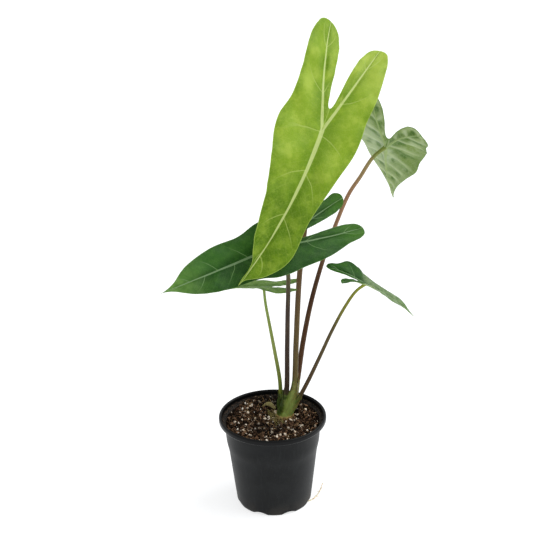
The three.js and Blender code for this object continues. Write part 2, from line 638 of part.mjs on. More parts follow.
function soil() {
  const spots = soilPlaces(SOIL.perlite + SOIL.chips, 7);
  const bits = spots.map(({ x, y, turn, tilt, size }, k) => {
    const radius = lerp(...SOIL.perliteRadius, size);
    const bit = k < SOIL.perlite ? new THREE.IcosahedronGeometry(radius, 0)
      : new THREE.BoxGeometry(...SOIL.chipSize.map((length) => length * (0.7 + 0.5 * size)));
    bit.rotateX(0.8 * tilt).rotateZ(turn).translate(x, y, soilHeight(x, y) + 0.25 * radius);
    return toSolid(bit);
  });
  const cuts = [
    crownCore(GAP),
    mainRoots(GAP),
    toSolid(witheredSheath(GAP)),
    toSolid(strayRoot(GAP)),
  ];
  const filled = wasm.Manifold.union([soilBody(), ...bits]);
  return toGeometry(mainBody(filled.subtract(wasm.Manifold.union(cuts))));
}

// Dry curled leaf base, lying beside the crown with its lower edge in the mix

function witheredSheath(extra) {
  const { middle, heading, length, reach, turns, thickness } = WITHERED;
  const [rows, columns] = [8, 7];
  const half = thickness / 2 + 1.5 * extra;
  const beyond = (index, last) => (index === last ? extra : 0) - (index === 0 ? extra : 0);
  const along = new Vector3(Math.cos(rad(heading)), Math.sin(rad(heading)), 0);
  const across = new Vector3(-along.y, along.x, 0);
  const points = [];
  const triangles = [];
  for (let r = 0; r <= rows; r += 1) {
    const share = r / rows;
    const width = Math.sin(Math.PI * clamp(0.12 + 0.8 * share, 0, 1)) ** 0.7;
    const lift = WITHERED.rise * Math.sin(Math.PI * Math.min(1, 0.95 * share + 0.05)) - 1.2;
    for (let c = 0; c <= columns; c += 1) {
      const radius = reach * width / 2;
      const angle = rad(turns) * (1 - 0.25 * share) * (c / columns - 0.5) + beyond(c, columns) / radius;
      const out = across.clone().multiplyScalar(Math.sin(angle)).add(new Vector3(0, 0, Math.cos(angle)));
      const axis = middle.clone().addScaledVector(along, length * (share - 0.5) + beyond(r, rows))
        .addScaledVector(across, 2.5 * share * share).add(new Vector3(0, 0, lift));
      points.push(axis.clone().addScaledVector(out, radius + half));
      points.push(axis.clone().addScaledVector(out, radius - half));
    }
  }
  for (let r = 0; r < rows; r += 1) {
    for (let c = 0; c < columns; c += 1) {
      const [here, there] = [r * (columns + 1) + c, (r + 1) * (columns + 1) + c];
      triangles.push([here, there + 1, here + 1], [here, there, there + 1]);
    }
  }
  return thickSheet(points, triangles);
}

function strayRoot(extra) {
  const route = toVectors(STRAY_ROOT.route);
  return stem(lengthened(route, extra), widened(STRAY_ROOT.radii, extra), 5, 20);
}

// Assembly

function piece(name, geometry, color, roughness) {
  const material = new THREE.MeshStandardMaterial({ color, roughness, metalness: 0 });
  const mesh = new THREE.Mesh(geometry, material);
  mesh.name = name;
  return mesh;
}

const plant = new THREE.Group();
plant.add(piece("pot", pot(), 0x1d1f21, 0.55));
plant.add(piece("soil", soil(), 0x35271d, 0.95));
plant.add(piece("crown", crown(), 0x64813c, 0.55));
for (const [key, leaf] of Object.entries(LEAVES)) {
  plant.add(piece(`petiole_${key}`, toGeometry(stalk(leaf, 0)), leaf.stalk.color, 0.5));
  plant.add(piece(`blade_${key}`, blade(leaf), leaf.color, 0.45));
}
plant.add(piece("withered_sheath", witheredSheath(0), 0x6d6b3a, 0.85));
plant.add(piece("stray_root", strayRoot(0), 0xd8c9a6, 0.7));

export default plant;
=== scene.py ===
"""A young alocasia in a plastic nursery pot: five arrow-shaped leaves on long stalks, the leaf bases
that they rise from, potting mix with perlite, and a root that has grown out under the pot's foot.
Lengths are millimetres and angles are degrees until a mesh is made, and MM turns them into metres.
Inside a material, places in the object are metres. Colours are as on a screen, from 0 to 255."""
import json
import math

import bmesh
import bpy
import numpy as np
from mathutils import Matrix, Quaternion, Vector

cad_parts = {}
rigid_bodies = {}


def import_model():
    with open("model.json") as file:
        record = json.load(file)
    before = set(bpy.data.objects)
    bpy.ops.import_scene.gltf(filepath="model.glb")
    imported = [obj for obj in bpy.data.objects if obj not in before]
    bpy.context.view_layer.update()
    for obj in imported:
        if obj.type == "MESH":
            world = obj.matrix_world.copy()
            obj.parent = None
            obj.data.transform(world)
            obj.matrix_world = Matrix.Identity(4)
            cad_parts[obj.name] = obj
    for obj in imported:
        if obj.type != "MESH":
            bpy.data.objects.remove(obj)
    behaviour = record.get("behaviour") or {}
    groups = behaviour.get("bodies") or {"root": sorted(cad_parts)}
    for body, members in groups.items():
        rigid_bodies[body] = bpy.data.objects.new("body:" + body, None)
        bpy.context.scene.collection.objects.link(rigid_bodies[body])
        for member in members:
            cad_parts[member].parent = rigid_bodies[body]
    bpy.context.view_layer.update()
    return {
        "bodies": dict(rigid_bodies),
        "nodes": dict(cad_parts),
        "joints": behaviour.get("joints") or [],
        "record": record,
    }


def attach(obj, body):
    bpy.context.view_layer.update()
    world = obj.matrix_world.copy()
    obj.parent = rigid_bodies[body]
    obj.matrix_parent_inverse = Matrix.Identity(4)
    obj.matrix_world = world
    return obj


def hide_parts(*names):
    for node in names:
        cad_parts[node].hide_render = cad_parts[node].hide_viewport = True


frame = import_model()

MM = 0.001
FRONT = np.array([0.0, -1.0, 0.0])

# The way towards the soft light, the camera at the photograph's angle, and half the floor's width
SUN_FROM = (0.75, 0.1, 1.0)
CAMERA = {"lens": 82.5, "at": (-2.7, -1110.25, 718.35), "elevation": 22.3, "roll": -1.3}
FLOOR_REACH = 40000

# The pot
POT = {
    "height": 98, "rim": 55.6, "lip_height": 6, "lip_width": 3.6, "lip_overhang": 3.4,
    "collar_top": 49.75, "collar_foot": 48.2, "collar_foot_z": 70, "body_top": 45.9, "body_top_z": 60,
    "body_foot": 39.8, "body_foot_z": 7, "base": 38.3, "foot_ring": 1.9, "wall": 1.2,
    "floor_under": 3.2, "floor_top": 4.8, "boss": 10, "notches": 8, "notch_width": 16,
    "notch_height": 3, "drain": 3.5, "drain_reach": 30.5, "seam_heading": -100.3, "seam_height": 0.16,
    "seam_width": 0.35, "sides": 216, "sharp": 35,
}

# The potting mix, what lies in it and how far out, the crown and what comes off it
SOIL = {
    "level": 88, "left_rise": 2.6, "hollow": 3, "bank": 6.5, "bank_heading": 86,
    "dip": 4, "dip_heading": 172, "lumps": 0.8, "reach": 48.2,
    "crumbs": 2600, "perlite": 360, "chips": 70, "fibres": 260, "fibre_rise": 1.5, "loose": 47,
}
CROWN = {
    "foot": np.array([8.2, 17, 60]), "soil_line": np.array([12.6, 17, 88]), "top": np.array([15.8, 17, 103]),
    "radii": (3, 8.5, 11, 10.4, 9, 8.7, 8, 6, 3.6), "roots": 6, "clear": 9.3, "strands": 24,
    "bases": {"a": (4.3, 133), "b": (2.1, 119), "c": (2.8, 131), "d": (2.2, 115), "e": (1.0, 109)},
}
WITHERED = {
    "middle": (-4, 30, 88), "heading": 158, "length": 16, "reach": 9, "rise": 4.2, "turns": 120,
}
STRAY_ROOT = {
    "radii": (0.8, 0.7, 0.55, 0.4),
    "route": ((24, -10, 17), (27.4, -11.4, 10), (28.3, -11.8, 5), (30.2, -12.8, 2), (35, -14.2, 0.9),
              (39.5, -11.4, 0.8), (43, -7.6, 0.8), (46.8, -0.6, 0.8), (50.3, 10.4, 0.8), (52.7, 19.5, 1.4)),
}

# Outline of a blade: stations from the tip, past the stalk's junction, to the end of a back lobe.
# A station is a share of the front length, or of the lobe's length where it is negative.
STATIONS = (1, 0.955, 0.87, 0.73, 0.5, 0.25, 0.05, -0.2, -0.45, -0.7, -0.9, -1)
JUNCTION = 6
SINUS = 0.22
NOTCH_STATIONS = (0.22, 0.33, 0.55, 0.72, 0.86, 1)
NOTCH_WIDTHS = (0, 0.09, 0.17, 0.26, 0.38)
FRAMES = 72
BLADE_THICKNESS = 0.55
STALK_SIDES = 28

# Half the midrib's width, as a share of the leaf's, and the width at which the relief is full size
RIB_SHARE = 0.052
FULL_WIDTH = 45
SENSES = {"left": -1, "right": 1}


def side(droop, spread, turn, fold, tip_fold, lobe_fold, widths):
    """How a lobe's rib bends, spreads and turns, the angles of the blade's fold at the junction, the tip
    and the lobe, and its half widths at the stations after the tip, as shares of the leaf's width."""
    return {"droop": droop, "spread": spread, "turn": turn, "fold": fold, "tip_fold": tip_fold,
            "lobe_fold": lobe_fold, "widths": widths}


# Each leaf: where its stalk meets it, the way its tip points, its size, how it bends, its sides as seen
# from above, looking to the tip, the places on its ribs where side veins start, and its stalk.
LEAVES = {
    "a": {
        "junction": (52.8, 10, 396.7), "heading": -118.7, "pitch": 46.1, "roll": -33.4,
        "front": 169.6, "back": 110.3, "width": 44.5, "droop": 17.2, "bend": 15.3, "twist": -13.4,
        "camber": 10.5, "wave": 0.8, "ruffle": 0.5, "fold_reach": 1,
        "left": side(23.4, -2.3, -2.6, 11.6, 22.5, 20,
                     (0.05, 0.36, 0.59, 0.53, 0.67, 0.84, 0.86, 0.93, 0.95, 0.93, 0.72)),
        "right": side(17.9, -11.3, -7.4, 13.4, 25.7, 19.8,
                     (0.04, 0.05, 0.37, 0.62, 0.89, 1.02, 0.89, 0.91, 1.03, 1.04, 0.77)),
        "veins": (-1.2, -0.72, -0.3, 0.03, 0.27, 0.55, 0.8, 1.05), "stagger": 0.08, "bow": 0.45, "puff": 1.0,
        "radii": (3, 2.75, 2.2),
        "route": ((17.8, 16.2, 97.5), (19.6, 15.6, 105), (23, 15.4, 118), (25.7, 18, 168), (28.5, 24, 216),
                  (31, 28, 247), (35.5, 30, 284), (40.7, 30, 321), (48.5, 24, 360)),
    },
    "b": {
        "junction": (5.1, -24, 292.7), "heading": -150.5, "pitch": 10.5, "roll": -47.5,
        "front": 121.4, "back": 97.8, "width": 31.1, "droop": 7, "bend": 4, "twist": 0.2,
        "camber": 9.1, "wave": 0.7, "ruffle": 0.35, "fold_reach": 1,
        "left": side(19.1, -12.1, 0.8, 10.1, 17.1, 9.4,
                     (0.02, 0.16, 0.49, 0.71, 0.78, 0.99, 0.99, 1.02, 0.95, 0.97, 0.74)),
        "right": side(19.2, -2.1, 0.7, 10, 17.1, 11.3,
                     (0.02, 0.15, 0.49, 0.72, 0.73, 0.9, 0.93, 0.96, 0.8, 0.97, 0.75)),
        "veins": (-1.2, -0.75, -0.33, 0.08, 0.36, 0.62, 0.85, 1.1), "stagger": 0.45, "bow": 0.4, "puff": 0.9,
        "radii": (2.75, 2.4, 2),
        "route": ((11.8, 13.4, 97.5), (13.6, 13.6, 105), (15.4, 13.8, 120), (16.4, 10.5, 166),
                  (17.4, 3.5, 209), (18.2, -4, 240), (17.6, -10, 262)),
    },
    "c": {
        "junction": (122.6, 90, 355.8), "heading": 89.7, "pitch": 42.8, "roll": 31.2,
        "front": 102.8, "back": 80, "width": 41.2, "droop": 0.7, "bend": 22.9, "twist": 24.3,
        "camber": 10.6, "wave": 0.4, "ruffle": 0.15, "fold_reach": 1,
        "left": side(-13, -4, 5.2, 7.9, 21.1, 8,
                     (0.03, 0.13, 0.49, 0.67, 0.77, 0.98, 1, 0.98, 0.97, 0.88, 0.7)),
        "right": side(-15.4, 16.2, 26.5, 8.5, 10.7, 13.8,
                     (0.03, 0.11, 0.27, 0.57, 0.87, 0.92, 1.01, 1.04, 0.99, 0.98, 0.74)),
        "veins": (-1.2, -0.85, -0.55, -0.27, -0.03, 0.17, 0.36, 0.55, 0.73, 0.9, 1.1), "stagger": 0.2,
        "bow": 0.4, "puff": 1.7,
        "radii": (3, 2.6, 2.1, 1.9),
        "route": ((20.2, 22.2, 97.5), (22.6, 22.6, 105), (25.9, 24, 118.5), (33.7, 32, 166), (43.2, 42, 208),
                  (56.1, 55, 248), (69.2, 65, 281), (83.3, 72, 312), (94.7, 77, 327.6), (108.5, 84, 346.3)),
    },
    "d": {
        "junction": (-6, 36, 226), "heading": 163.6, "pitch": 4.9, "roll": 5.9,
        "front": 42, "back": 37.4, "width": 14.8, "droop": 11, "bend": 7.7, "twist": -3,
        "camber": 8.4, "wave": 0.4, "ruffle": 0.3, "fold_reach": 0.5,
        "left": side(0, -3, 0, 12, 16, -14,
                     (0.04, 0.22, 0.43, 0.63, 0.84, 0.99, 0.98, 0.96, 0.96, 0.88, 0.7)),
        "right": side(-11.7, 4.7, -7.2, 13.8, 22, 13.6,
                     (0.04, 0.22, 0.43, 0.62, 0.82, 0.97, 0.92, 0.99, 0.98, 0.88, 0.7)),
        "veins": (-1.2, -0.7, -0.3, 0.05, 0.35, 0.62, 0.85, 1.1), "stagger": 0.3, "bow": 0.4, "puff": 0.4,
        "radii": (2.3, 1.85, 1.35),
        "route": ((8.6, 21, 97.5), (9, 21.6, 105), (8.4, 24, 125), (3.6, 29, 157), (-1.8, 33, 190),
                  (-4.6, 35, 208)),
    },
    "e": {
        "junction": (92.9, -20, 250.4), "heading": 14.3, "pitch": 30.9, "roll": 5.3,
        "front": 68.2, "back": 38.4, "width": 20.1, "droop": 17.4, "bend": -3.3, "twist": 15,
        "camber": 8.8, "wave": 0.5, "ruffle": 0.3, "fold_reach": 0.2,
        "left": side(22.2, -5.1, -5.4, 16.1, 8.8, 33.9,
                     (0.04, 0.18, 0.48, 0.48, 0.64, 0.85, 0.88, 1.15, 0.92, 0.9, 0.74)),
        "right": side(10.8, 21.6, 2.6, 24.6, 14.2, 27.6,
                     (0.03, 0.1, 0.06, 0.56, 0.56, 0.66, 0.86, 0.84, 0.82, 0.94, 0.72)),
        "veins": (-1.2, -0.7, -0.3, 0.05, 0.33, 0.58, 0.82, 1.1), "stagger": 0.3, "bow": 0.4, "puff": 0.6,
        "radii": (2.4, 1.85, 1.4),
        "route": ((21.8, 13.4, 97.5), (25.8, 12.8, 105), (37.2, 9.4, 130), (49.6, 3, 162), (61.7, -5, 195),
                  (73.4, -11, 222), (83.9, -16, 241)),
    },
}


# Number helpers

def lerp(a, b, share):
    return a + (b - a) * share


def smoothstep(low, high, x):
    f = np.clip((x - low) / (high - low), 0, 1)
    return f * f * (3 - 2 * f)


def unit(vectors):
    return vectors / np.linalg.norm(vectors, axis=-1, keepdims=True)


def on_circle(angles):
    return np.stack([np.cos(angles), np.sin(angles)], -1)


def level_way(heading):
    return np.array([math.cos(heading), math.sin(heading), 0])


def ripple(points, size, seed):
    """A smooth random field, mostly from -1 to 1, with bumps about that size across."""
    rng = np.random.default_rng(seed)
    points = np.asarray(points, float)
    waves = unit(rng.normal(size=(12, points.shape[-1]))) * rng.uniform(0.6, 1.7, (12, 1)) * math.pi / size
    return np.sin(points @ waves.T + rng.uniform(0, 2 * math.pi, 12)).sum(-1) / math.sqrt(12)


def through(values, place):
    """Smooth curve through a list of numbers, at places counted in list steps."""
    v = np.asarray(values, float)
    last = len(v) - 1
    k = np.clip(np.floor(place).astype(int), 0, last - 1)
    f = place - k
    p, q = v[k], v[k + 1]
    before = np.where(k > 0, v[np.maximum(k - 1, 0)], 2 * v[0] - v[1])
    after = np.where(k < last - 1, v[np.minimum(k + 2, last)], 2 * v[last] - v[last - 1])
    return 0.5 * (2 * p + (q - before) * f + (2 * before - 5 * p + 4 * q - after) * f ** 2
                  + (3 * p - before - 3 * q + after) * f ** 3)


def curve_points(route, count):
    """Evenly spaced points along a smooth curve through the route (a centripetal Catmull-Rom curve)."""
    p = np.asarray(route, float)
    p = np.vstack([2 * p[0] - p[1], p, 2 * p[-1] - p[-2]])
    fine = []
    for k in range(1, len(p) - 2):
        a, b, c = np.sqrt(np.linalg.norm(np.diff(p[k - 1:k + 3], axis=0), axis=1))
        start = (p[k] - p[k - 1]) / a - (p[k + 1] - p[k - 1]) / (a + b) + (p[k + 1] - p[k]) / b
        end = (p[k + 1] - p[k]) / b - (p[k + 2] - p[k]) / (b + c) + (p[k + 2] - p[k + 1]) / c
        start, end = start * b, end * b
        f = np.linspace(0, 1, 60, endpoint=k == len(p) - 3)[:, None]
        fine.append(p[k] + start * f + (3 * (p[k + 1] - p[k]) - 2 * start - end) * f ** 2
                    + (2 * (p[k] - p[k + 1]) + start + end) * f ** 3)
    fine = np.vstack(fine)
    run = np.concatenate([[0], np.cumsum(np.linalg.norm(np.diff(fine, axis=0), axis=1))])
    marks = np.linspace(0, run[-1], count)
    return np.stack([np.interp(marks, run, fine[:, axis]) for axis in range(3)], 1)


# Meshes

def make_mesh(name, points, triangles):
    mesh = bpy.data.meshes.new(name)
    mesh.from_pydata((np.asarray(points) * MM).tolist(), [], np.asarray(triangles).tolist())
    return mesh


def shade(mesh, sharp):
    mesh.shade_smooth()
    mesh.set_sharp_from_angle(angle=math.radians(sharp))


def add_object(name, data):
    thing = bpy.data.objects.new(name, data)
    bpy.context.scene.collection.objects.link(thing)
    return thing


def modify(thing, kind, **settings):
    modifier = thing.modifiers.new(kind.lower(), kind)
    for key, value in settings.items():
        setattr(modifier, key, value)


def modified_mesh(thing):
    """A new mesh of what an object's modifiers make of it."""
    return bpy.data.meshes.new_from_object(thing.evaluated_get(bpy.context.evaluated_depsgraph_get()))


def add_piece(name, body, looks, stands_for=(), values=None, slots=None, sharp=50):
    """A smooth-shaded piece from a body's points and triangles, with named values on its points."""
    mesh = make_mesh(name, *body)
    mesh.update()
    shade(mesh, sharp)
    for material in looks:
        mesh.materials.append(material)
    if slots is not None:
        mesh.polygons.foreach_set("material_index", np.asarray(slots, np.int32))
    for key, data in (values or {}).items():
        data = np.ascontiguousarray(data, np.float32)
        kind, field = ("FLOAT", "value") if data.ndim == 1 else ("FLOAT_VECTOR", "vector")
        mesh.attributes.new(key, kind, "POINT").data.foreach_set(field, data.ravel())
    piece = add_object(name, mesh)
    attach(piece, "root")
    if stands_for:
        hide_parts(*stands_for)


def grid_triangles(rows, columns, flip=False, around=False):
    """Triangles over a grid of points counted row by row, closed on itself if it runs around."""
    r, c = np.meshgrid(np.arange(rows - 1), np.arange(columns if around else columns - 1), indexing="ij")
    here, right = r * columns + c, r * columns + (c + 1) % columns
    below, across = here + columns, right + columns
    halves = np.concatenate([np.stack([here, right, across], -1).reshape(-1, 3),
                             np.stack([here, across, below], -1).reshape(-1, 3)])
    return halves[:, ::-1] if flip else halves


def closed_rings(rings, first, last, flip=False):
    """A closed body from rings of points, with a point in the middle of each end."""
    count, sides = rings.shape[:2]
    ring = np.arange(sides)
    nextdoor = (ring + 1) % sides
    start, far = count * sides, (count - 1) * sides
    fans = np.concatenate([np.stack([np.full(sides, start), nextdoor, ring], 1),
                           np.stack([np.full(sides, start + 1), far + ring, far + nextdoor], 1)])
    if flip:
        fans = fans[:, [0, 2, 1]]
    triangles = np.vstack([grid_triangles(count, sides, flip, around=True), fans])
    return np.vstack([rings.reshape(-1, 3), first, last]), triangles


def closed_sheet(upper, lower, triangles):
    """A thin solid between two layers of points, and its slots: 1 for the underside and 0 elsewhere."""
    upper, lower = upper.reshape(-1, 3), lower.reshape(-1, 3)
    count = len(upper)
    edges = np.concatenate([triangles[:, [0, 1]], triangles[:, [1, 2]], triangles[:, [2, 0]]])
    forward = edges[:, 0] * count + edges[:, 1]
    backward = edges[:, 1] * count + edges[:, 0]
    a, b = edges[~np.isin(forward, backward)].T
    rim = np.concatenate([np.stack([a, a + count, b + count], 1), np.stack([a, b + count, b], 1)])
    parts = [triangles, triangles[:, ::-1] + count, rim]
    return (np.vstack([upper, lower]), np.concatenate(parts)), np.repeat([0, 1, 0], [len(p) for p in parts])


def on_both(values):
    """The same values on the upper and on the lower layer of a closed sheet."""
    return {key: np.concatenate([data, data]) for key, data in values.items()}


def outward(line, angles):
    """Directions out of a line of centres, at angles counted from the front."""
    along = unit(np.gradient(line, axis=0))
    forward = unit(FRONT - along * (along @ FRONT)[:, None])
    sideways = np.cross(along, forward)
    return np.cos(angles)[..., None] * forward[:, None] + np.sin(angles)[..., None] * sideways[:, None]


def tube(centres, radii, sides, fluted=1):
    """A closed tube round a line of centres. Its first side faces the front. Radii go by ring, and the
    fluting multiplies them, by ring and side."""
    centres = np.asarray(centres, float)
    reach = np.broadcast_to(np.asarray(radii, float)[:, None], (len(centres), sides)) * fluted
    angles = np.arange(sides) * 2 * math.pi / sides
    rings = centres[:, None] + outward(centres, angles) * reach[..., None]
    return closed_rings(rings, centres[0], centres[-1])


def thread(route, radii, sides):
    """A tube along a smooth curve through the route, with a ring for each radius."""
    return tube(curve_points(route, len(radii)), radii, sides)


def join_bodies(bodies):
    """Puts several bodies in one. The second result numbers each point's body."""
    starts = np.cumsum([0] + [len(points) for points, _ in bodies])
    triangles = np.concatenate([faces + start for (_, faces), start in zip(bodies, starts)])
    owner = np.repeat(np.arange(len(bodies)), [len(points) for points, _ in bodies])
    return (np.vstack([points for points, _ in bodies]), triangles), owner


# Materials

def srgb(red, green, blue):
    """A colour given as on a screen, in the linear values that shaders use."""
    linear = [((c / 255 + 0.055) / 1.055) ** 2.4 if c > 10 else c / 255 / 12.92 for c in (red, green, blue)]
    return (*linear, 1.0)


class Look:
    """A material under construction. It keeps the colour and the relief made so far."""

    def __init__(self, name, **settings):
        self.material = bpy.data.materials.new(name)
        self.material.use_nodes = True
        self.tree = self.material.node_tree
        self.shader = self.tree.nodes["Principled BSDF"]
        self.color = self.normal = None
        for socket, value in settings.items():
            self.shader.inputs[socket.replace("_", " ")].default_value = value

    def node(self, kind, inputs=(), **settings):
        node = self.tree.nodes.new("ShaderNode" + kind)
        for key, value in settings.items():
            setattr(node, key, value)
        for socket, value in dict(inputs).items():
            if isinstance(value, bpy.types.NodeSocket):
                self.tree.links.new(value, node.inputs[socket])
            else:
                node.inputs[socket].default_value = value
        return node

    def value(self, name):
        return self.node("Attribute", attribute_name=name).outputs["Fac"]

    def vector(self, name):
        return self.node("Attribute", attribute_name=name).outputs["Vector"]

    def place(self):
        """The point's place in the object."""
        return self.node("TexCoord").outputs["Object"]

    def math(self, operation, *values):
        return self.node("Math", enumerate(values), operation=operation).outputs[0]

    def times(self, first, *others):
        for value in others:
            first = self.math("MULTIPLY", first, value)
        return first

    def scaled(self, value, factor, offset):
        return self.math("MULTIPLY_ADD", value, factor, offset)

    def measure(self, operation, *vectors):
        """A number from vectors: their distance, length or dot product."""
        return self.node("VectorMath", enumerate(vectors), operation=operation).outputs["Value"]

    def fade(self, value, low, high):
        """0 where the value is low and 1 where it is high, with smooth ends. Low may be above high."""
        start, end, *ends = (high, low, 1.0, 0.0) if low > high else (low, high, 0.0, 1.0)
        inputs = {"Value": value, "From Min": start, "From Max": end, "To Min": ends[0], "To Max": ends[1]}
        return self.node("MapRange", inputs, interpolation_type="SMOOTHSTEP").outputs[0]

    def stretch(self, vector, x, y, z):
        return self.node("VectorMath", {0: vector, 1: (x, y, z)}, operation="MULTIPLY").outputs[0]

    def noise(self, vector, scale, detail=2.0, roughness=0.5):
        inputs = {"Vector": vector, "Scale": scale, "Detail": detail, "Roughness": roughness}
        return self.node("TexNoise", inputs).outputs["Fac"]

    def mix(self, share, *colors):
        a, b = (c if isinstance(c, bpy.types.NodeSocket) else srgb(*c) for c in colors)
        return self.node("Mix", {0: share, 6: a, 7: b}, data_type="RGBA").outputs[2]

    def ground(self, share, a, b):
        """The first colour of the material, from one tone to another."""
        self.color = self.mix(share, a, b)

    def tint(self, tone, *shares):
        """Lays a tone over the colour made so far, as strong as the product of the shares."""
        self.color = self.mix(self.times(*shares), self.color, tone)

    def ramp(self, value, stops):
        """The first colour of the material, drawn smoothly through stops of (place, tone)."""
        node = self.node("ValToRGB", {0: value})
        node.color_ramp.interpolation = "EASE"
        elements = node.color_ramp.elements
        while len(elements) < len(stops):
            elements.new(0.5)
        for element, (place, tone) in zip(elements, stops):
            element.position = place
            element.color = srgb(*tone)
        self.color = node.outputs["Color"]

    def bump(self, height, distance, strength=1.0):
        """Adds relief of that height in metres under what comes after."""
        inputs = {"Height": height, "Distance": distance, "Strength": strength}
        if self.normal is not None:
            inputs["Normal"] = self.normal
        self.normal = self.node("Bump", inputs).outputs[0]

    def done(self, roughness=None):
        for socket, value in (("Base Color", self.color), ("Roughness", roughness), ("Normal", self.normal)):
            if value is not None:
                self.tree.links.new(value, self.shader.inputs[socket])
        return self.material


# Blades

def first_frame(leaf):
    heading, pitch = math.radians(leaf["heading"]), math.radians(leaf["pitch"])
    level = math.cos(pitch)
    along = Vector((math.cos(heading) * level, math.sin(heading) * level, -math.sin(pitch)))
    right = Vector((math.sin(heading), -math.cos(heading), 0))
    roll = Quaternion(along, math.radians(leaf["roll"]))
    return Vector((0, 0, 0)), along, roll @ right, roll @ right.cross(along)


def bend_rib(first, length, droop, bend, twist, start):
    """Frames along a rib, bent evenly from the start distance on. Droop bends it towards its underside,
    bend turns it to its right and twist rolls it. A lobe's rib has a negative length."""
    sense = math.copysign(1, length)
    shares = np.clip(np.arange(FRAMES) + 1 - start / abs(length) * FRAMES, 0, 1)
    frames = [first]
    place, along, right, up = (v.copy() for v in first)
    for share in shares / shares.sum():
        half = math.radians(share / 2)
        for part in range(2):
            turn = (Quaternion(right, -sense * droop * half) @ Quaternion(up, -sense * bend * half)
                    @ Quaternion(along, twist * half))
            along, right, up = turn @ along, turn @ right, turn @ up
            if part == 0:
                place = place + along * (length / FRAMES)
        frames.append((place, along, right, up))
    return [np.array([frame[k] for frame in frames], float) for k in (0, 2, 3)]


def blade_surface(leaf):
    """The bent middle surface of a blade, as a function of flat places (s along, t to the right)."""
    first = first_frame(leaf)
    ribs = {"front": bend_rib(first, leaf["front"], leaf["droop"], leaf["bend"], leaf["twist"], 0)}
    for name, sense in SENSES.items():
        lobe = leaf[name]
        ribs[name] = bend_rib(first, -leaf["back"], lobe["droop"], sense * lobe["spread"],
                              sense * lobe["turn"], SINUS * leaf["back"])
    curl = -math.radians(leaf["camber"]) / leaf["width"]

    def surface(s, t):
        points = np.zeros((len(s), 3))
        for name, chosen in (("left", t < 0), ("right", t >= 0)):
            lobe = leaf[name]
            for ahead in (True, False):
                pick = chosen & ((s >= 0) == ahead)
                share = np.clip(np.abs(s[pick]) / leaf["front" if ahead else "back"], 0, 1.02)
                frame_place = share * FRAMES
                k = np.minimum(frame_place.astype(int), FRAMES - 1)
                f = (frame_place - k)[:, None]
                place, right, up = [lerp(v[k], v[k + 1], f) for v in ribs["front" if ahead else name]]
                reach = np.abs(t[pick])
                flat = np.zeros_like(reach)
                if not ahead:
                    flat = np.minimum(reach, lobe["widths"][-1] * leaf["width"] * share)
                settled = np.minimum(1, share / leaf["fold_reach"])
                slope = np.radians(lerp(lobe["fold"], lobe["tip_fold" if ahead else "lobe_fold"], settled))
                run = curl * (reach - flat)
                out = flat + (np.sin(slope + run) - np.sin(slope)) / curl
                wave = leaf["wave"] * np.sin(0.16 * s[pick] + (2 if name == "left" else 0))
                rise = (np.cos(slope) - np.cos(slope + run)) / curl + wave * (reach / leaf["width"]) ** 2
                points[pick] = place + right * (np.sign(t[pick]) * out)[:, None] + up * rise[:, None]
        return points + leaf["junction"]

    return surface


def rib_start(leaf, widths, place):
    """The flat places on the midrib or a lobe's rib where rows start, and the share along that rib."""
    foot = STATIONS[JUNCTION]
    ahead = np.maximum(0, (through(STATIONS, place) - foot) / (1 - foot)) ** 1.12
    behind = np.maximum(0, (place - JUNCTION) / (len(STATIONS) - 1 - JUNCTION))
    front = place < JUNCTION
    s = np.where(front, ahead * leaf["front"], -behind * leaf["back"])
    return s, np.where(front, 0, behind * widths[-1] * leaf["width"]), np.where(front, ahead, -behind)


def quarter_round(place, start):
    """Rounds the last step of an outline to an upright end: how far along and how far across, 0 to 1."""
    turn = np.clip(place - start, 0, 1) * math.pi / 2
    return np.sin(turn), 1 - np.cos(turn)


def margin_point(leaf, widths, place):
    before = len(STATIONS) - 2
    along, across = quarter_round(place, before)
    rounding = place > before
    share = np.where(rounding, lerp(*STATIONS[-2:], along), through(STATIONS, place))
    width = np.where(rounding, lerp(*widths[-2:], across), through((0, *widths), place))
    return np.where(share > 0, leaf["front"], leaf["back"]) * share, width * leaf["width"]


def notch_point(leaf, widths, place):
    """The far end of a row inside a back lobe: on the line between the lobes, then on the notch's edge."""
    joined = JUNCTION + 1
    count = len(NOTCH_STATIONS) - 1
    step = np.maximum(0, (place - joined) / (len(STATIONS) - 1 - joined) * count)
    end = widths[-1]
    width = np.where(step < 1, NOTCH_WIDTHS[1] * step ** 0.5, through((*NOTCH_WIDTHS, end), step))
    along, across = quarter_round(step, count - 1)
    rounding = step > count - 1
    lean = end * (1 - NOTCH_STATIONS[-2])
    width = np.where(rounding, lerp(NOTCH_WIDTHS[-1], end - lean, across) + lean * along, width)
    depth = np.where(rounding, lerp(NOTCH_STATIONS[-2], 1, along), through(NOTCH_STATIONS, step))
    depth = np.where(place <= joined, np.minimum(place - JUNCTION, 1) * SINUS, depth)
    return -depth * leaf["back"], np.where(place <= joined, 0, width * leaf["width"])


def rib_distance(leaf, s, t):
    """Distance to the nearest of the three main ribs, as a share of that rib's half width there."""
    best = np.full(len(s), 99.0)
    ends = [(leaf["front"], 0, 1.0, 0.1)]
    for name, sense in SENSES.items():
        ends.append((-leaf["back"], sense * leaf[name]["widths"][-1] * leaf["width"], 0.72, 0.12))
    for end_s, end_t, thick, thin in ends:
        share = np.clip((s * end_s + t * end_t) / (end_s ** 2 + end_t ** 2), 0, 1)
        half = lerp(thick, thin, share) * RIB_SHARE * leaf["width"]
        best = np.minimum(best, np.hypot(s - share * end_s, t - share * end_t) / half)
    return best


def blade_rows(leaf, step):
    """Row places with about that many millimetres between rows."""
    places = []
    for k in range(len(STATIONS) - 1):
        span = abs(STATIONS[k] - STATIONS[k + 1]) * leaf["front" if k < JUNCTION else "back"]
        count = max(3, round(span / step))
        places.append(k + np.arange(count) / count)
    return np.concatenate([*places, [len(STATIONS) - 1]])


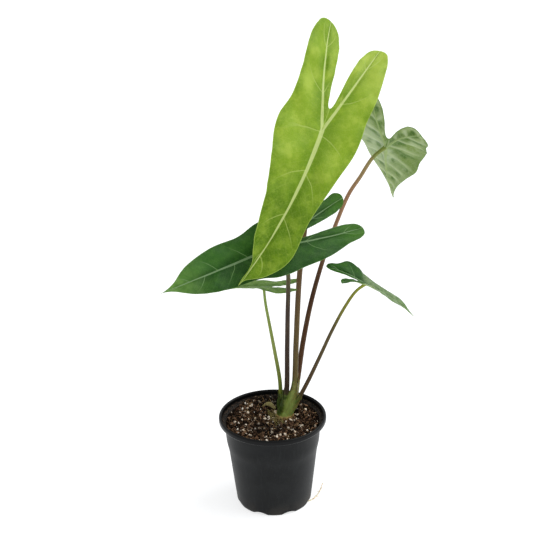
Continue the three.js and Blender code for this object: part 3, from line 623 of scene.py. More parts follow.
def vein_gap(s, t, phase):
    """Millimetres between neighbouring veins at each point of a grid of flat places."""
    (s_r, s_c), (t_r, t_c), (p_r, p_c) = (np.gradient(values) for values in (s, t, phase))
    area = s_r * t_c - s_c * t_r
    area = np.where(np.abs(area) < 1e-4, 1e-4, area)
    slope = np.hypot((p_r * t_c - p_c * t_r) / area, (p_c * s_r - p_r * s_c) / area)
    return np.clip(1 / np.maximum(slope, 1e-4), 1, 60)


def blade_grid(leaf, name, inner, step):
    """Flat places and values over a blade's side, between its ribs and its margin or its notch."""
    widths, sign = leaf[name]["widths"], SENSES[name]
    places = blade_rows(leaf, step)
    if inner:
        places = places[places >= JUNCTION]
    rib_s, rib_t, share = rib_start(leaf, widths, places)
    edge_s, edge_t = (notch_point if inner else margin_point)(leaf, widths, places)
    across = np.linspace(0, 1, round(leaf["width"] / step * (0.45 if inner else 1)) + 1) ** 1.35
    across = np.where(across > 0.8, 1 - (1 - across) ** 1.15 * 0.2 ** -0.15, across)
    s, t = (lerp(rib[:, None], edge[:, None], across) for rib, edge in ((rib_s, edge_s), (rib_t, edge_t)))
    run = np.hypot(edge_s - rib_s, edge_t - rib_t)[:, None]
    stagger = leaf["stagger"] if sign > 0 else 0
    phase = np.interp(share, leaf["veins"], np.arange(len(leaf["veins"]))) + stagger
    lean = np.tanh(share / 0.12) * leaf["bow"]
    phase = phase[:, None] - lean[:, None] * across ** 1.5
    triangles = grid_triangles(len(places), len(across), flip=(sign > 0) != inner)
    return {"s": s, "t": sign * t, "phase": phase, "gap": vein_gap(s, t, phase), "edge": (1 - across) * run,
            "across": np.broadcast_to(across, s.shape)}, triangles


def blade_sheet(leaf, step):
    """Points, triangles, face slots and values of a blade: upper face first, then the underside."""
    surface = blade_surface(leaf)
    grids = [blade_grid(leaf, name, inner, step) for name in SENSES for inner in (False, True)]
    merged = {key: np.concatenate([g[key].ravel() for g, _ in grids]) for key in grids[0][0]}
    starts = np.cumsum([0] + [g["s"].size for g, _ in grids])
    triangles = np.concatenate([t + start for (_, t), start in zip(grids, starts)])
    keys = np.round(np.stack([merged["s"], merged["t"]], 1) * 1000).astype(np.int64)
    _, first, index = np.unique(keys, axis=0, return_index=True, return_inverse=True)
    s, t, phase, gap, edge, across = (data[first] for data in merged.values())
    triangles = index.ravel()[triangles]
    triangles = triangles[(triangles != np.roll(triangles, 1, axis=1)).all(1)]

    rib = rib_distance(leaf, s, t)
    size = leaf["width"] / FULL_WIDTH
    reach = 0.8
    normal = unit(np.cross(surface(s, t + reach) - surface(s, t - reach),
                           surface(s + reach, t) - surface(s - reach, t)))

    # The puckers between the side veins, the frilled edge and a wide unevenness
    flat = np.stack([s, t], 1)
    bulge = np.sin(math.pi * phase) ** 2
    open_face = smoothstep(1, 5, rib) * smoothstep(0, 9 * size, edge)
    rise = leaf["puff"] * bulge * open_face * np.clip(gap / 14 / size, 0.3, 1.3)
    rise = rise + leaf["ruffle"] * size * ripple(flat, 11 * size, 3) * smoothstep(10 * size, 0, edge)
    middle = surface(s, t) + normal * (rise + 0.3 * size * ripple(flat, 16 * size, 5))[:, None]

    # How far each face stands off the middle, with the ribs and side veins raised below
    vein = np.abs(phase - np.round(phase)) * gap
    side_vein = np.exp(-(vein / (0.75 * size)) ** 2) * smoothstep(1.0, 0.35, across)
    half = BLADE_THICKNESS / 2 * lerp(0.45, 1, smoothstep(0, 1.6, edge))
    junction_boss = 1.3 * size * np.exp(-(s ** 2 + t ** 2) / (4.5 * size + 1) ** 2)
    over = half + size * (0.3 * np.exp(-1.3 * rib ** 2) - 0.14 * side_vein)
    under = half + size * (1.35 * np.exp(-(rib / 0.85) ** 2.6) * lerp(1, 0.35, np.abs(s) / leaf["front"])
                           + 0.32 * side_vein) + junction_boss
    body, slots = closed_sheet(middle + normal * over[:, None], middle - normal * under[:, None], triangles)
    values = {"flat": np.stack([s, t, np.zeros_like(s)], 1), "rib": rib, "phase": phase, "gap": gap,
              "edge": edge, "across": across, "puff": bulge * open_face}
    return body, slots, on_both(values)


def blade_look(name, tones, size, roughness, net, under):
    """The skin of a blade's face. Net is how strongly the finest veins show."""
    look = Look(name, Roughness=roughness, Subsurface_Weight=0.12, Subsurface_Scale=0.001,
                Subsurface_Radius=(0.8, 1.0, 0.3), Specular_IOR_Level=0.12)
    flat = look.vector("flat")
    rib, edge, phase, gap, across = map(look.value, ("rib", "edge", "phase", "gap", "across"))
    wide = look.noise(flat, 0.06 / size, 4, 0.6)
    patches = look.noise(flat, 0.09 / size, 3, 0.55)
    fine = look.noise(flat, 0.3 / size, 5, 0.65)
    # Paler mottles over the middle of each half: partly the leaf's own mottling, partly painted highlight on
    # the puffed panels between the side veins
    half_way = look.times(look.fade(across, 0.1, 0.45), look.fade(across, 1.0, 0.7))
    pale = look.times(look.fade(wide, 0.4, 0.66), look.scaled(half_way, 0.56, 0.2))
    look.ground(pale, tones["ground"], tones["light"])
    # Deep green beside the ribs: partly the leaf's own colour, partly painted shade in the fold along them
    beside = look.times(look.fade(rib, 12, 2), look.fade(look.noise(flat, 0.05 / size, 2), 0.3, 0.56))
    look.tint(tones["deep"], beside, 0.72)
    rim_shade = look.times(look.fade(across, 0.72, 1.0), look.fade(wide, 0.62, 0.42))
    look.tint(tones["deep"], rim_shade, 0.6)
    for way, start, end, tone, strength in tones["washes"]:
        reach = look.measure("DOT_PRODUCT", flat, (*way, 0))
        uneven = look.scaled(look.fade(patches, 0.62, 0.4), 0.4 * strength, 0.6 * strength)
        look.tint(tone, look.fade(reach, start * size, end * size), uneven)

    # Side veins, the finer veins between them, and the net
    broad = look.noise(flat, 0.05 / size, 1)
    drift = look.scaled(broad, 0.08, look.math("SUBTRACT", phase, 0.04))
    vein = look.times(look.math("PINGPONG", drift, 0.5), gap)
    between = look.times(look.math("PINGPONG", look.times(drift, 4.0), 0.5), gap)
    if under:
        band = look.times(look.fade(vein, 4.6 * size, 0.8 * size), look.fade(across, 1.05, 0.6))
        look.tint(tones["light"], band, 0.6)
        # Painted shade in the hollows of the puckers between the side veins
        valley_shade = look.times(look.fade(look.value("puff"), 0.45, 0.95), look.fade(broad, 0.42, 0.58))
        look.tint(tones["deep"], valley_shade, 0.75)
    look.tint(tones["light"], look.fade(fine, 0.5, 0.7), 0.25)
    vein_mask = look.times(look.fade(vein, 0.75 * size, 0.2 * size), look.fade(across, 0.95, 0.3))
    thin_mask = look.times(look.fade(between, 1.1 * size, 0.2 * size), 0.18)
    cells = look.node("TexVoronoi", {"Vector": flat, "Scale": 0.42 / size}, feature="DISTANCE_TO_EDGE")
    cells = cells.outputs["Distance"]
    veins = look.math("MAXIMUM", look.times(vein_mask, tones["vein_strength"]), thin_mask)
    look.tint(tones["vein"], look.math("MAXIMUM", veins, look.times(look.fade(cells, 0.09, 0.0), net)))

    # The pale ribs, with a darker line down each side of the middle one's crest, and the margin
    look.tint(tones["rib"], look.fade(rib, 1.15, 0.8), tones["rib_strength"])
    off_crest = look.math("ABSOLUTE", look.math("SUBTRACT", rib, 0.5))
    look.tint(tones["vein"], look.fade(off_crest, 0.16, 0.02), 0.28)
    look.tint(tones["edge"], look.fade(edge, 0.9 * size, 0.25 * size), tones["edge_strength"])

    look.bump(look.fade(cells, 0.0, 0.3), 0.0001 * size, 0.5)
    look.bump(look.math("SUBTRACT", 1.0, vein_mask), 0.00016 * size, 0.7)
    look.bump(look.noise(flat, 2.5, 3, 0.6), 0.00004, 0.6)
    return look.done(look.scaled(fine, 0.16, roughness - 0.08))


# Tones of the blades' faces. A wash is a tone that sets in between two distances in a direction on
# the flat blade, counted from the junction (ahead, to the right), and how strong it gets.
LIME_UPPER = {
    "ground": (124, 154, 34), "light": (156, 178, 64), "deep": (88, 124, 14),
    "washes": (((1, 0), 20, 95, (78, 112, 8), 0.95), ((-0.75, -0.66), 40, 90, (164, 184, 74), 0.65),
               ((-0.85, 0.52), 70, 115, (104, 138, 22), 0.8)),
    "vein": (164, 184, 92), "rib": (188, 202, 130), "edge": (160, 184, 84),
    "vein_strength": 0.6, "rib_strength": 0.85, "edge_strength": 0.55,
}
LIME_UNDER = {
    "ground": (132, 154, 72), "light": (152, 172, 98), "deep": (106, 134, 46),
    "washes": (((1, 0), 0, 60, (110, 138, 50), 0.6),),
    "vein": (166, 184, 120), "rib": (182, 196, 136), "edge": (160, 182, 94),
    "vein_strength": 0.8, "rib_strength": 0.85, "edge_strength": 0.4,
}
DARK_UPPER = {
    "ground": (36, 82, 20), "light": (62, 106, 34), "deep": (20, 60, 10),
    "washes": (((0.15, -0.95), 12, 24, (18, 58, 8), 0.6), ((0.15, 0.95), 12, 24, (62, 106, 42), 0.4),
               ((1, 0), 95, 160, (98, 136, 62), 0.9), ((-1, 0), 70, 130, (64, 108, 30), 0.7)),
    "vein": (104, 136, 84), "rib": (122, 150, 108), "edge": (110, 142, 78),
    "vein_strength": 0.8, "rib_strength": 0.8, "edge_strength": 0.6,
}
DARK_UNDER = {
    "ground": (122, 145, 76), "light": (168, 184, 138), "deep": (60, 100, 22),
    "washes": (((0.6, -0.8), -6, 4, (168, 184, 146), 0.8), ((0.5, 0.86), 14, 30, (108, 134, 66), 0.75),
               ((1, 0), 34, 60, (128, 150, 86), 0.4)),
    "vein": (172, 186, 138), "rib": (146, 168, 104), "edge": (100, 128, 58),
    "vein_strength": 0.7, "rib_strength": 0.8, "edge_strength": 0.6,
}
OLIVE_UPPER = {
    **DARK_UPPER, "ground": (98, 132, 58), "light": (126, 154, 88), "deep": (66, 102, 34), "washes": (),
}
# Dark upper face of leaf e. Its first wash is a painted reflection: the pale sheen over the part ahead of the
# junction, seen at a grazing angle
DARK_UPPER_PAINTED_SHEEN = {
    **DARK_UPPER, "ground": (24, 72, 8), "light": (46, 92, 18), "edge": (112, 132, 90),
    "washes": (((1, 0), -16, 12, (110, 130, 90), 1.0), ((1, 0), 90, 140, (78, 112, 48), 0.8)),
}
# leaf: tones of both faces, millimetres between rows of points, and material slot
BLADE_FACES = {
    "a": (LIME_UPPER, LIME_UNDER, 1.3, "blade_lime"), "b": (DARK_UPPER, DARK_UNDER, 1.15, "blade_dark"),
    "c": (DARK_UPPER, DARK_UNDER, 1.15, "blade_dark"), "d": (OLIVE_UPPER, DARK_UNDER, 0.85, "blade_dark"),
    "e": (DARK_UPPER_PAINTED_SHEEN, DARK_UNDER, 0.9, "blade_dark"),
}


def add_blades():
    for key, leaf in LEAVES.items():
        upper, under, step, slot = BLADE_FACES[key]
        size = leaf["width"] / FULL_WIDTH
        looks = [blade_look(f"leaf_{key}_upper", upper, size, 0.46, 0.12, False),
                 blade_look(f"leaf_{key}_under", under, size, 0.6, 0.2, True)]
        body, slots, values = blade_sheet(leaf, step)
        add_piece(f"leaf_{key}", body, looks, [f"blade_{key}"], values, slots, sharp=70)


# Stalks

# Tones from the foot to the blade, each at its share of the stalk's length
STALK_STOPS = {
    "a": ((0, (98, 128, 52)), (0.06, (96, 112, 46)), (0.16, (98, 84, 48)), (0.5, (96, 74, 50)),
          (0.9, (120, 96, 60)), (1, (140, 150, 80))),
    "b": ((0, (70, 96, 40)), (0.08, (62, 66, 34)), (0.16, (54, 42, 34)), (0.6, (60, 48, 40)),
          (0.9, (84, 82, 48)), (1, (110, 130, 80))),
    "c": ((0, (98, 124, 44)), (0.06, (104, 96, 48)), (0.15, (82, 54, 30)), (0.45, (70, 44, 27)),
          (0.78, (160, 122, 94)), (0.9, (160, 138, 98)), (0.96, (134, 150, 72))),
    "d": ((0, (76, 108, 34)), (0.15, (104, 120, 42)), (0.5, (138, 152, 80)), (1, (136, 160, 80))),
    "e": ((0, (86, 112, 44)), (0.1, (94, 110, 48)), (0.18, (80, 64, 44)), (0.6, (84, 72, 44)),
          (0.85, (122, 122, 44)), (1, (140, 148, 50))),
}


def stalk_look(key):
    look = Look(f"stalk_{key}", Roughness=0.42, Subsurface_Weight=0.05, Subsurface_Scale=0.001,
                Specular_IOR_Level=0.12)
    skin, along = look.vector("skin"), look.value("along")
    uneven = look.scaled(look.noise(skin, 0.12, 2), 0.06, look.math("SUBTRACT", along, 0.03))
    look.ramp(uneven, STALK_STOPS[key])
    streaks = look.noise(look.stretch(skin, 1, 1, 0.05), 1.3, 4, 0.65)
    flecks = look.noise(look.stretch(skin, 1, 1, 0.07), 0.9, 3, 0.6)
    look.tint((40, 28, 22), look.fade(streaks, 0.5, 0.68), 0.45)
    look.tint((160, 142, 98), look.fade(flecks, 0.56, 0.72), 0.3)
    look.bump(streaks, 0.0002, 0.5)
    look.bump(look.noise(skin, 1.6, 3, 0.6), 0.00006, 0.4)
    return look.done(look.scaled(flecks, 0.2, 0.33))


def stalk_points(leaf):
    """Centres of a stalk's rings from inside the crown to its blade, with their radii."""
    junction = np.array(leaf["junction"], float)
    route = [np.array(p, float) for p in leaf["route"]]
    foot = lerp(CROWN["soil_line"], route[0], 0.3)
    arrival = unit(junction - route[-1])
    centres = curve_points([foot, *route, junction, junction + 2 * arrival], round(junction[2] / 1.6))
    share = np.linspace(0, 1, len(centres))
    radii = np.interp(share, np.linspace(0, 1, len(leaf["radii"])), leaf["radii"])
    radii = radii * (1 + 0.18 * smoothstep(7, 1, np.linalg.norm(centres - junction, axis=1)))
    return centres, radii, arrival


def add_stalks():
    sides = STALK_SIDES
    angles = np.arange(sides) * 2 * math.pi / sides
    for key, leaf in LEAVES.items():
        centres, radii, arrival = stalk_points(leaf)
        height = (centres[:, 2] - centres[0, 2])[:, None]
        fluted = 1 + 0.02 * np.sin(9 * angles + 0.01 * height) + 0.015 * np.sin(5 * angles - 0.017 * height)
        points, triangles = tube(centres, radii, sides, fluted)
        up = np.array(first_frame(leaf)[3])
        above = (points - leaf["junction"]) @ up + 0.12
        points = points - arrival * (np.maximum(0, above) / (arrival @ up))[:, None]
        run = np.arange(len(centres)) * np.linalg.norm(centres[1] - centres[0])
        run = np.concatenate([np.repeat(run, sides), [0, run[-1]]])
        around = np.concatenate([np.tile(angles, len(centres)), [0, 0]])
        values = {"skin": np.column_stack([2.5 * on_circle(around), run]), "along": run / run.max()}
        add_piece(f"stalk_{key}", (points, triangles), [stalk_look(key)], [f"petiole_{key}"], values)


# Crown, with the corm and main roots below the mix

def clasping(look, lines, dark, bright, browning):
    """Leaf bases: painted light on the side to the light, deep green painted shade on the other, parted along
    the crown's lean.
    """
    x, _, z = look.node("SeparateXYZ", {0: look.place()}).outputs
    side_way = look.math("SUBTRACT", x, look.times(look.math("SUBTRACT", z, 0.088), 0.38))
    look.ground(look.fade(lines, 0.4, 0.65), bright, dark)
    # Painted light: the side towards the light made paler
    look.tint((152, 170, 92), look.fade(side_way, 0.007, 0.011), 0.6)
    look.tint((104, 91, 47), browning, 0.88)
    # Painted shade: the side away from the light made deep green
    look.tint((40, 62, 12), look.fade(side_way, 0.0098, 0.0055), 0.9)


def crown_look():
    look = Look("crown_skin", Roughness=0.42, Subsurface_Weight=0.08, Subsurface_Scale=0.0015,
                Specular_IOR_Level=0.15)
    place = look.place()
    height = look.node("SeparateXYZ", {0: place}).outputs["Z"]
    lines = look.noise(look.stretch(place, 1, 1, 0.08), 900, 3, 0.6)
    clasping(look, lines, (98, 120, 40), (122, 144, 58), look.fade(height, 0.105, 0.126))
    look.tint((150, 164, 88), look.fade(look.noise(place, 160, 2), 0.45, 0.65), 0.35)
    ragged = look.scaled(look.noise(place, 400, 3), 0.004, height)
    look.tint((184, 166, 106), look.fade(ragged, 0.0925, 0.0905))
    look.tint((128, 78, 36), look.fade(ragged, 0.0900, 0.0882), 0.9)
    look.bump(lines, 0.0003, 0.5)
    return look.done()


def base_thickness(key, heights):
    """How far a leaf's base stands out round its stalk at each height."""
    thick, top = CROWN["bases"][key]
    low = CROWN["soil_line"][2]
    return thick * (1 - np.clip((heights - low) / (top - low), 0, 1) ** 1.4) ** 1.5


def crown_bodies():
    """The corm and its core, the leaf bases that clasp it, and the main roots, as overlapping solids."""
    foot, soil_line = CROWN["foot"], CROWN["soil_line"]
    centres = curve_points([foot, lerp(foot, soil_line, 0.5), soil_line, CROWN["top"]], 50)
    share = np.linspace(0, 1, len(centres))
    radii = np.interp(share * (len(CROWN["radii"]) - 1), np.arange(len(CROWN["radii"])), CROWN["radii"])
    bodies = [tube(centres, radii * np.sqrt(np.clip((1 - share) / 0.1, 0.02, 1)), 40)]
    for key, (_, top) in CROWN["bases"].items():
        centres, radii, _ = stalk_points(LEAVES[key])
        keep = centres[:, 2] < top
        centres, radii = centres[keep], radii[keep] - 0.2
        bodies.append(tube(centres, radii + base_thickness(key, centres[:, 2]), STALK_SIDES))
    steps = np.array([0, 0.3, 0.65, 1])
    for k in range(CROWN["roots"]):
        rng = np.random.default_rng(40 + k)
        outwards = level_way(2 * math.pi * (k + 0.5 * rng.random()) / CROWN["roots"])
        start = lerp(foot, soil_line, 0.25)
        line = start + outwards * (3 + 9 * steps)[:, None] - np.array([0, 0, 24]) * (steps ** 1.4)[:, None]
        bodies.append(thread(line, np.linspace(1.5, 0.9, 24), 12))
    return bodies


def melted(name, bodies, cell, rounds):
    """One smooth skin round overlapping solids, as points and triangles."""
    lumps = add_object(name, make_mesh(name, *join_bodies(bodies)[0]))
    modify(lumps, "REMESH", mode="VOXEL", voxel_size=cell * MM)
    modify(lumps, "SMOOTH", factor=0.5, iterations=rounds)
    modify(lumps, "TRIANGULATE", quad_method="SHORTEST_DIAGONAL")
    skin = modified_mesh(lumps)
    points = np.array([vertex.co for vertex in skin.vertices]) / MM
    triangles = np.array([face.vertices[:] for face in skin.polygons])
    bpy.data.objects.remove(lumps)
    bpy.data.meshes.remove(skin)
    return points, triangles


def add_crown():
    body = melted("crown_lumps", crown_bodies(), 0.5, 5)
    add_piece("crown_core", body, [crown_look()], ["crown"])


# leaf: lowest and highest point, the way its open side faces, counted from the front, and how far it
# reaches round the stalk
SHEATHS = {
    "a": (91, 136, -75, 250), "c": (92, 128, 150, 220), "e": (91, 112, -120, 210), "b": (91, 120, 60, 210),
    "d": (91, 114, 100, 200),
}


def sheath_look():
    look = Look("sheath_skin", Roughness=0.4, Subsurface_Weight=0.1, Subsurface_Scale=0.001,
                Specular_IOR_Level=0.15)
    rim, height = look.value("rim"), look.value("height")
    lines = look.noise(look.stretch(look.vector("skin"), 1, 1, 0.06), 1.1, 3, 0.6)
    clasping(look, lines, (90, 108, 38), (118, 136, 56), look.fade(height, 0.1, 0.7))
    look.tint((150, 150, 92), look.fade(rim, 0.8, 1.0), 0.3)
    look.bump(lines, 0.0003, 0.6)
    return look.done()


def sheath_body(key):
    """The open leaf base that wraps a stalk, as a thin curved sheet that narrows towards its top."""
    low, high, facing, width = SHEATHS[key]
    centres, radii, _ = stalk_points(LEAVES[key])
    heights = np.linspace(low, high, 40)
    line = np.stack([np.interp(heights, centres[:, 2], centres[:, axis]) for axis in range(3)], 1)
    share = np.linspace(0, 1, len(heights))
    columns = np.linspace(-0.5, 0.5, 33)
    span = np.radians(width) * np.clip(1 - share ** 2.2, 0.03, 1)
    angles = math.radians(facing + 180) + span[:, None] * columns
    base = np.interp(heights, centres[:, 2], radii) + base_thickness(key, heights)
    reach = (base + 0.12)[:, None] + 0.35 * np.abs(2 * columns) ** 6
    layers = [line[:, None] + outward(line, angles) * (reach + half)[..., None] for half in (0.12, -0.12)]
    body, _ = closed_sheet(*layers, grid_triangles(*angles.shape))
    rim = np.maximum(np.abs(2 * columns) ** 3, smoothstep(0.86, 1, share)[:, None])
    skin = np.dstack([3.5 * on_circle(angles), np.broadcast_to(heights[:, None], angles.shape)])
    values = {"rim": rim.ravel(), "height": np.repeat(share, len(columns)), "skin": skin.reshape(-1, 3)}
    return body, on_both(values)


def add_sheaths():
    look = sheath_look()
    for key in SHEATHS:
        body, values = sheath_body(key)
        add_piece(f"sheath_{key}", body, [look], values=values)


def add_dry_collar():
    """Papery remains of old leaf bases round the crown, at the top of the mix."""
    look = Look("dry_skin", Roughness=0.75)
    place = look.place()
    streaks = look.noise(look.stretch(place, 1, 1, 0.3), 900, 4, 0.65)
    look.ground(look.fade(streaks, 0.35, 0.65), (120, 84, 44), (182, 158, 102))
    look.tint((146, 78, 30), look.fade(look.noise(place, 500, 2), 0.55, 0.7))
    look.bump(streaks, 0.0004, 0.8)

    circle = on_circle(np.linspace(0, 2 * math.pi, 97)[:-1])
    rows = np.linspace(0, 1, 9)[:, None]
    height = np.clip(4.4 + 1.3 * ripple(circle * 9, 3.2, 21) + 0.7 * ripple(circle * 9, 1.1, 22), 2.5, 6.4)
    reach = 9.1 + 0.35 * ripple(circle * 9, 2.5, 23)
    foot = CROWN["soil_line"] + (0, 0, -5)
    layers = []
    for offset in (0.15, -0.15):
        lean = reach + offset + 0.9 * rows ** 2 * (0.4 + 0.6 * ripple(circle * 9, 2, 24))
        layers.append(foot + np.dstack([lean[..., None] * circle, rows * (height + 1.2)]))
    body, _ = closed_sheet(*layers, grid_triangles(len(rows), len(circle), around=True))
    add_piece("dry_collar", body, [look.done()])


# Potting mix

def soil_height(x, y):
    crown_x, crown_y = CROWN["soil_line"][:2]
    reach, heading = np.hypot(x, y), np.arctan2(y, x)
    slope = -SOIL["left_rise"] * (0.8 * x + 0.5 * y) / 48
    hollow = SOIL["hollow"] * np.exp(-((x - crown_x) ** 2 + (y - crown_y) ** 2) / 380)
    lumps = np.sin(0.41 * x + 0.6) * np.cos(0.37 * y - 0.3) + 0.6 * np.sin(0.23 * x - 0.52 * y + 1.9)
    place = np.stack([x, y], -1)
    rough = 0.7 * ripple(place, 5, 31) + 0.4 * ripple(place, 2.2, 32)
    towards_bank = np.maximum(0, np.cos(heading - math.radians(SOIL["bank_heading"])))
    bank = SOIL["bank"] * np.sqrt(towards_bank) * smoothstep(14, 46, reach)
    towards_dip = smoothstep(0.55, 0.9, np.cos(heading - math.radians(SOIL["dip_heading"])))
    dip = SOIL["dip"] * towards_dip * smoothstep(38, 46, reach)
    return SOIL["level"] + slope - hollow + bank - dip + SOIL["lumps"] * lumps + rough


# Where painted shade darkens the mix: a share for the stretch of x, the middle, where the shade starts and
# where it is full, and its strength. One lies along the back, one in front of the crown's left side.
PAINTED_SHADE_ZONES = ((0.5, (0.010, 0.043), 0.021, 0.011, 0.85), (0.8, (-0.002, -0.014), 0.022, 0.008, 0.65))


def painted_shade(look):
    """How strong the painted shade on the mix is at each place, from 0 to 1."""
    shares = []
    # Each zone's painted shade starts at the first distance and is full at the second
    for stretch, (x, y), dry, full_shade, strength in PAINTED_SHADE_ZONES:
        reach = look.measure("DISTANCE", look.stretch(look.place(), stretch, 1, 0), (x * stretch, y, 0))
        shares.append(look.times(look.fade(reach, dry, full_shade), strength))
    return look.math("MAXIMUM", *shares)


def add_soil_bed():
    look = Look("earth", Roughness=0.95, Specular_IOR_Level=0.05)
    place = look.place()
    grain = look.noise(place, 900, 4, 0.7)
    look.ground(look.fade(grain, 0.35, 0.65), (12, 9, 7), (40, 29, 22))
    look.tint((50, 33, 23), look.fade(look.noise(place, 320, 3), 0.55, 0.7), 0.7)
    # Painted shade on the mix
    look.tint((12, 13, 13), painted_shade(look))
    look.bump(grain, 0.0012, 0.9)
    look.bump(look.noise(place, 2600, 3, 0.7), 0.0004, 0.8)

    sides, rings = 220, 84
    circle = on_circle(np.arange(sides) * 2 * math.pi / sides)
    flat = SOIL["reach"] * np.linspace(0.01, 1, rings)[:, None, None] * circle
    top = np.dstack([flat, soil_height(flat[..., 0], flat[..., 1])])
    inside = [(47.9, 84.5), (46.3, 66), (44.5, 62.5), (38.3, 8.5), (37.3, 5.7), (36.1, 5.1)]
    walls = np.array([np.column_stack([r * circle, np.full(sides, z)]) for r, z in inside])
    middle = (0, 0, soil_height(np.zeros(1), np.zeros(1))[0])
    body = closed_rings(np.concatenate([top, walls]), middle, (0, 0, inside[-1][1]), flip=True)
    add_piece("soil_bed", body, [look.done()], ["soil"])


def ball(subdivisions):
    """The points and triangles of a round ball of radius 1."""
    shape = bmesh.new()
    bmesh.ops.create_icosphere(shape, subdivisions=subdivisions, radius=1)
    points = np.array([v.co for v in shape.verts], float)
    triangles = np.array([[v.index for v in face.verts] for face in shape.faces])
    shape.free()
    return points, triangles


def spots(count, rng, spread=SOIL["loose"]):
    """Random places on the mix, clear of the crown's middle."""
    found = np.zeros((0, 2))
    while len(found) < count:
        reach = spread * np.sqrt(rng.random(count))
        fresh = reach[:, None] * on_circle(2 * math.pi * rng.random(count))
        found = np.vstack([found, fresh[np.hypot(*(fresh - CROWN["soil_line"][:2]).T) > CROWN["clear"]]])
    return found[:count]


def turns(count, rng):
    """Random turns, as a matrix each."""
    w, x, y, z = unit(rng.normal(size=(count, 4))).T
    rows = [1 - 2 * (y * y + z * z), 2 * (x * y - z * w), 2 * (x * z + y * w),
            2 * (x * y + z * w), 1 - 2 * (x * x + z * z), 2 * (y * z - x * w),
            2 * (x * z - y * w), 2 * (y * z + x * w), 1 - 2 * (x * x + y * y)]
    return np.stack(rows, -1).reshape(count, 3, 3)


def grains(count, seed, subdivisions, sizes, proportions, rough, sink, lay_flat=0.0):
    """Many small lumps lying on the mix, as one body, and one random value for each lump."""
    rng = np.random.default_rng(seed)
    base, faces = ball(subdivisions)
    where = spots(count, rng)
    size = lerp(*sizes, rng.random(count) ** 2.2)
    scale = np.array(proportions) * rng.uniform(0.75, 1.25, (count, 3))
    turn = turns(count, rng)
    if lay_flat:
        c, s = on_circle(2 * math.pi * rng.random(count)).T
        zero = np.zeros(count)
        level = np.stack([c, -s, zero, s, c, zero, zero, zero, zero + 1], -1).reshape(count, 3, 3)
        turn = lerp(turn, level, lay_flat)
    points = []
    for k in range(count):
        shape = base * (1 + rough * ripple(base + 17 * k, 0.9, seed + 1)[:, None])
        points.append((shape * scale[k] * size[k]) @ turn[k].T)
    points = np.array(points)
    low = points[..., 2].min(1)
    points[..., :2] += where[:, None]
    points[..., 2] += (soil_height(*where.T) - low * (1 - sink))[:, None]
    triangles = faces + (np.arange(count) * len(base))[:, None, None]
    return (points.reshape(-1, 3), triangles.reshape(-1, 3)), np.repeat(rng.random(count), len(base))


def grain_look(name, dark, light, spot, size, depth, in_mix):
    look = Look(name, Roughness=0.85, Specular_IOR_Level=0.05)
    place, tone = look.place(), look.value("tone")
    look.ground(look.math("POWER", tone, 2.4), dark, light)
    speckle = look.noise(place, 1400 / size, 4, 0.7)
    look.tint(spot, look.fade(speckle, 0.48, 0.66), 0.7)
    # Painted shade over the grains that lie in the mix
    if in_mix:
        look.tint((14, 14, 13), painted_shade(look))
    look.bump(speckle, depth, 0.8)
    return look.done()


# piece: how many, seed, roundness, sizes, proportions, roughness, how far sunk and how flat they lie,
# then their dark and light tones, the tone of their specks, and the specks' size and depth
GRAINS = {
    "soil_crumbs": ((SOIL["crumbs"], 51, 1, (0.4, 2.1), (1, 0.7, 0.5), 0.32, 0.25),
                    ((12, 8, 6), (140, 108, 84), (120, 92, 70), 1, 0.0006)),
    "perlite_grains": ((SOIL["perlite"], 52, 2, (0.3, 1.9), (1, 0.75, 0.65), 0.2, 0.3),
                       ((224, 208, 186), (255, 250, 240), (172, 148, 120), 0.7, 0.0003)),
    "bark_chips": ((SOIL["chips"], 53, 2, (1.4, 4.0), (1, 0.3, 0.2), 0.12, 0.25, 0.8),
                   ((60, 36, 24), (206, 176, 132), (52, 34, 24), 1, 0.0006)),
}


def add_mix():
    for name, (shape, tones) in GRAINS.items():
        body, tone = grains(*shape)
        add_piece(name, body, [grain_look(name, *tones, in_mix=True)], values={"tone": tone})


def add_threads(name, skin, bodies, rng, tones):
    """One piece of many thin threads, each in a tone of its own."""
    body, owner = join_bodies(bodies)
    tone = rng.random(len(bodies))[owner]
    add_piece(name, body, [grain_look(skin, *tones, 1, 0.0002, in_mix=False)], values={"tone": tone})


def fibre(start, heading, length, bend, rng, radius):
    """A thin dry fibre that lies on the mix in a loose curve."""
    steps = np.linspace(0, 1, 9)
    angle = heading + bend * steps + 0.5 * np.sin(5 * steps + 6 * rng.random())
    line = start + np.cumsum(on_circle(angle), 0) * length / len(steps)
    line = line * np.minimum(1, SOIL["loose"] / np.hypot(*line.T))[:, None]
    z = soil_height(*line.T) + 0.45 + SOIL["fibre_rise"] * np.sin(math.pi * steps) * rng.random()
    return thread(np.column_stack([line, z]), radius * np.linspace(1, 0.5, 18), 6)


def add_fibres():
    rng = np.random.default_rng(61)
    starts = spots(SOIL["fibres"], rng, 45)
    bodies = [fibre(start, 2 * math.pi * rng.random(), rng.uniform(3, 11), rng.uniform(-2, 2), rng,
                    rng.uniform(0.1, 0.24)) for start in starts]
    tones = ((96, 66, 42), (196, 164, 116), (70, 46, 30))
    add_threads("soil_fibres", "fibre_skin", bodies, rng, tones)


# Withered leaf base, dry strands and the stray root

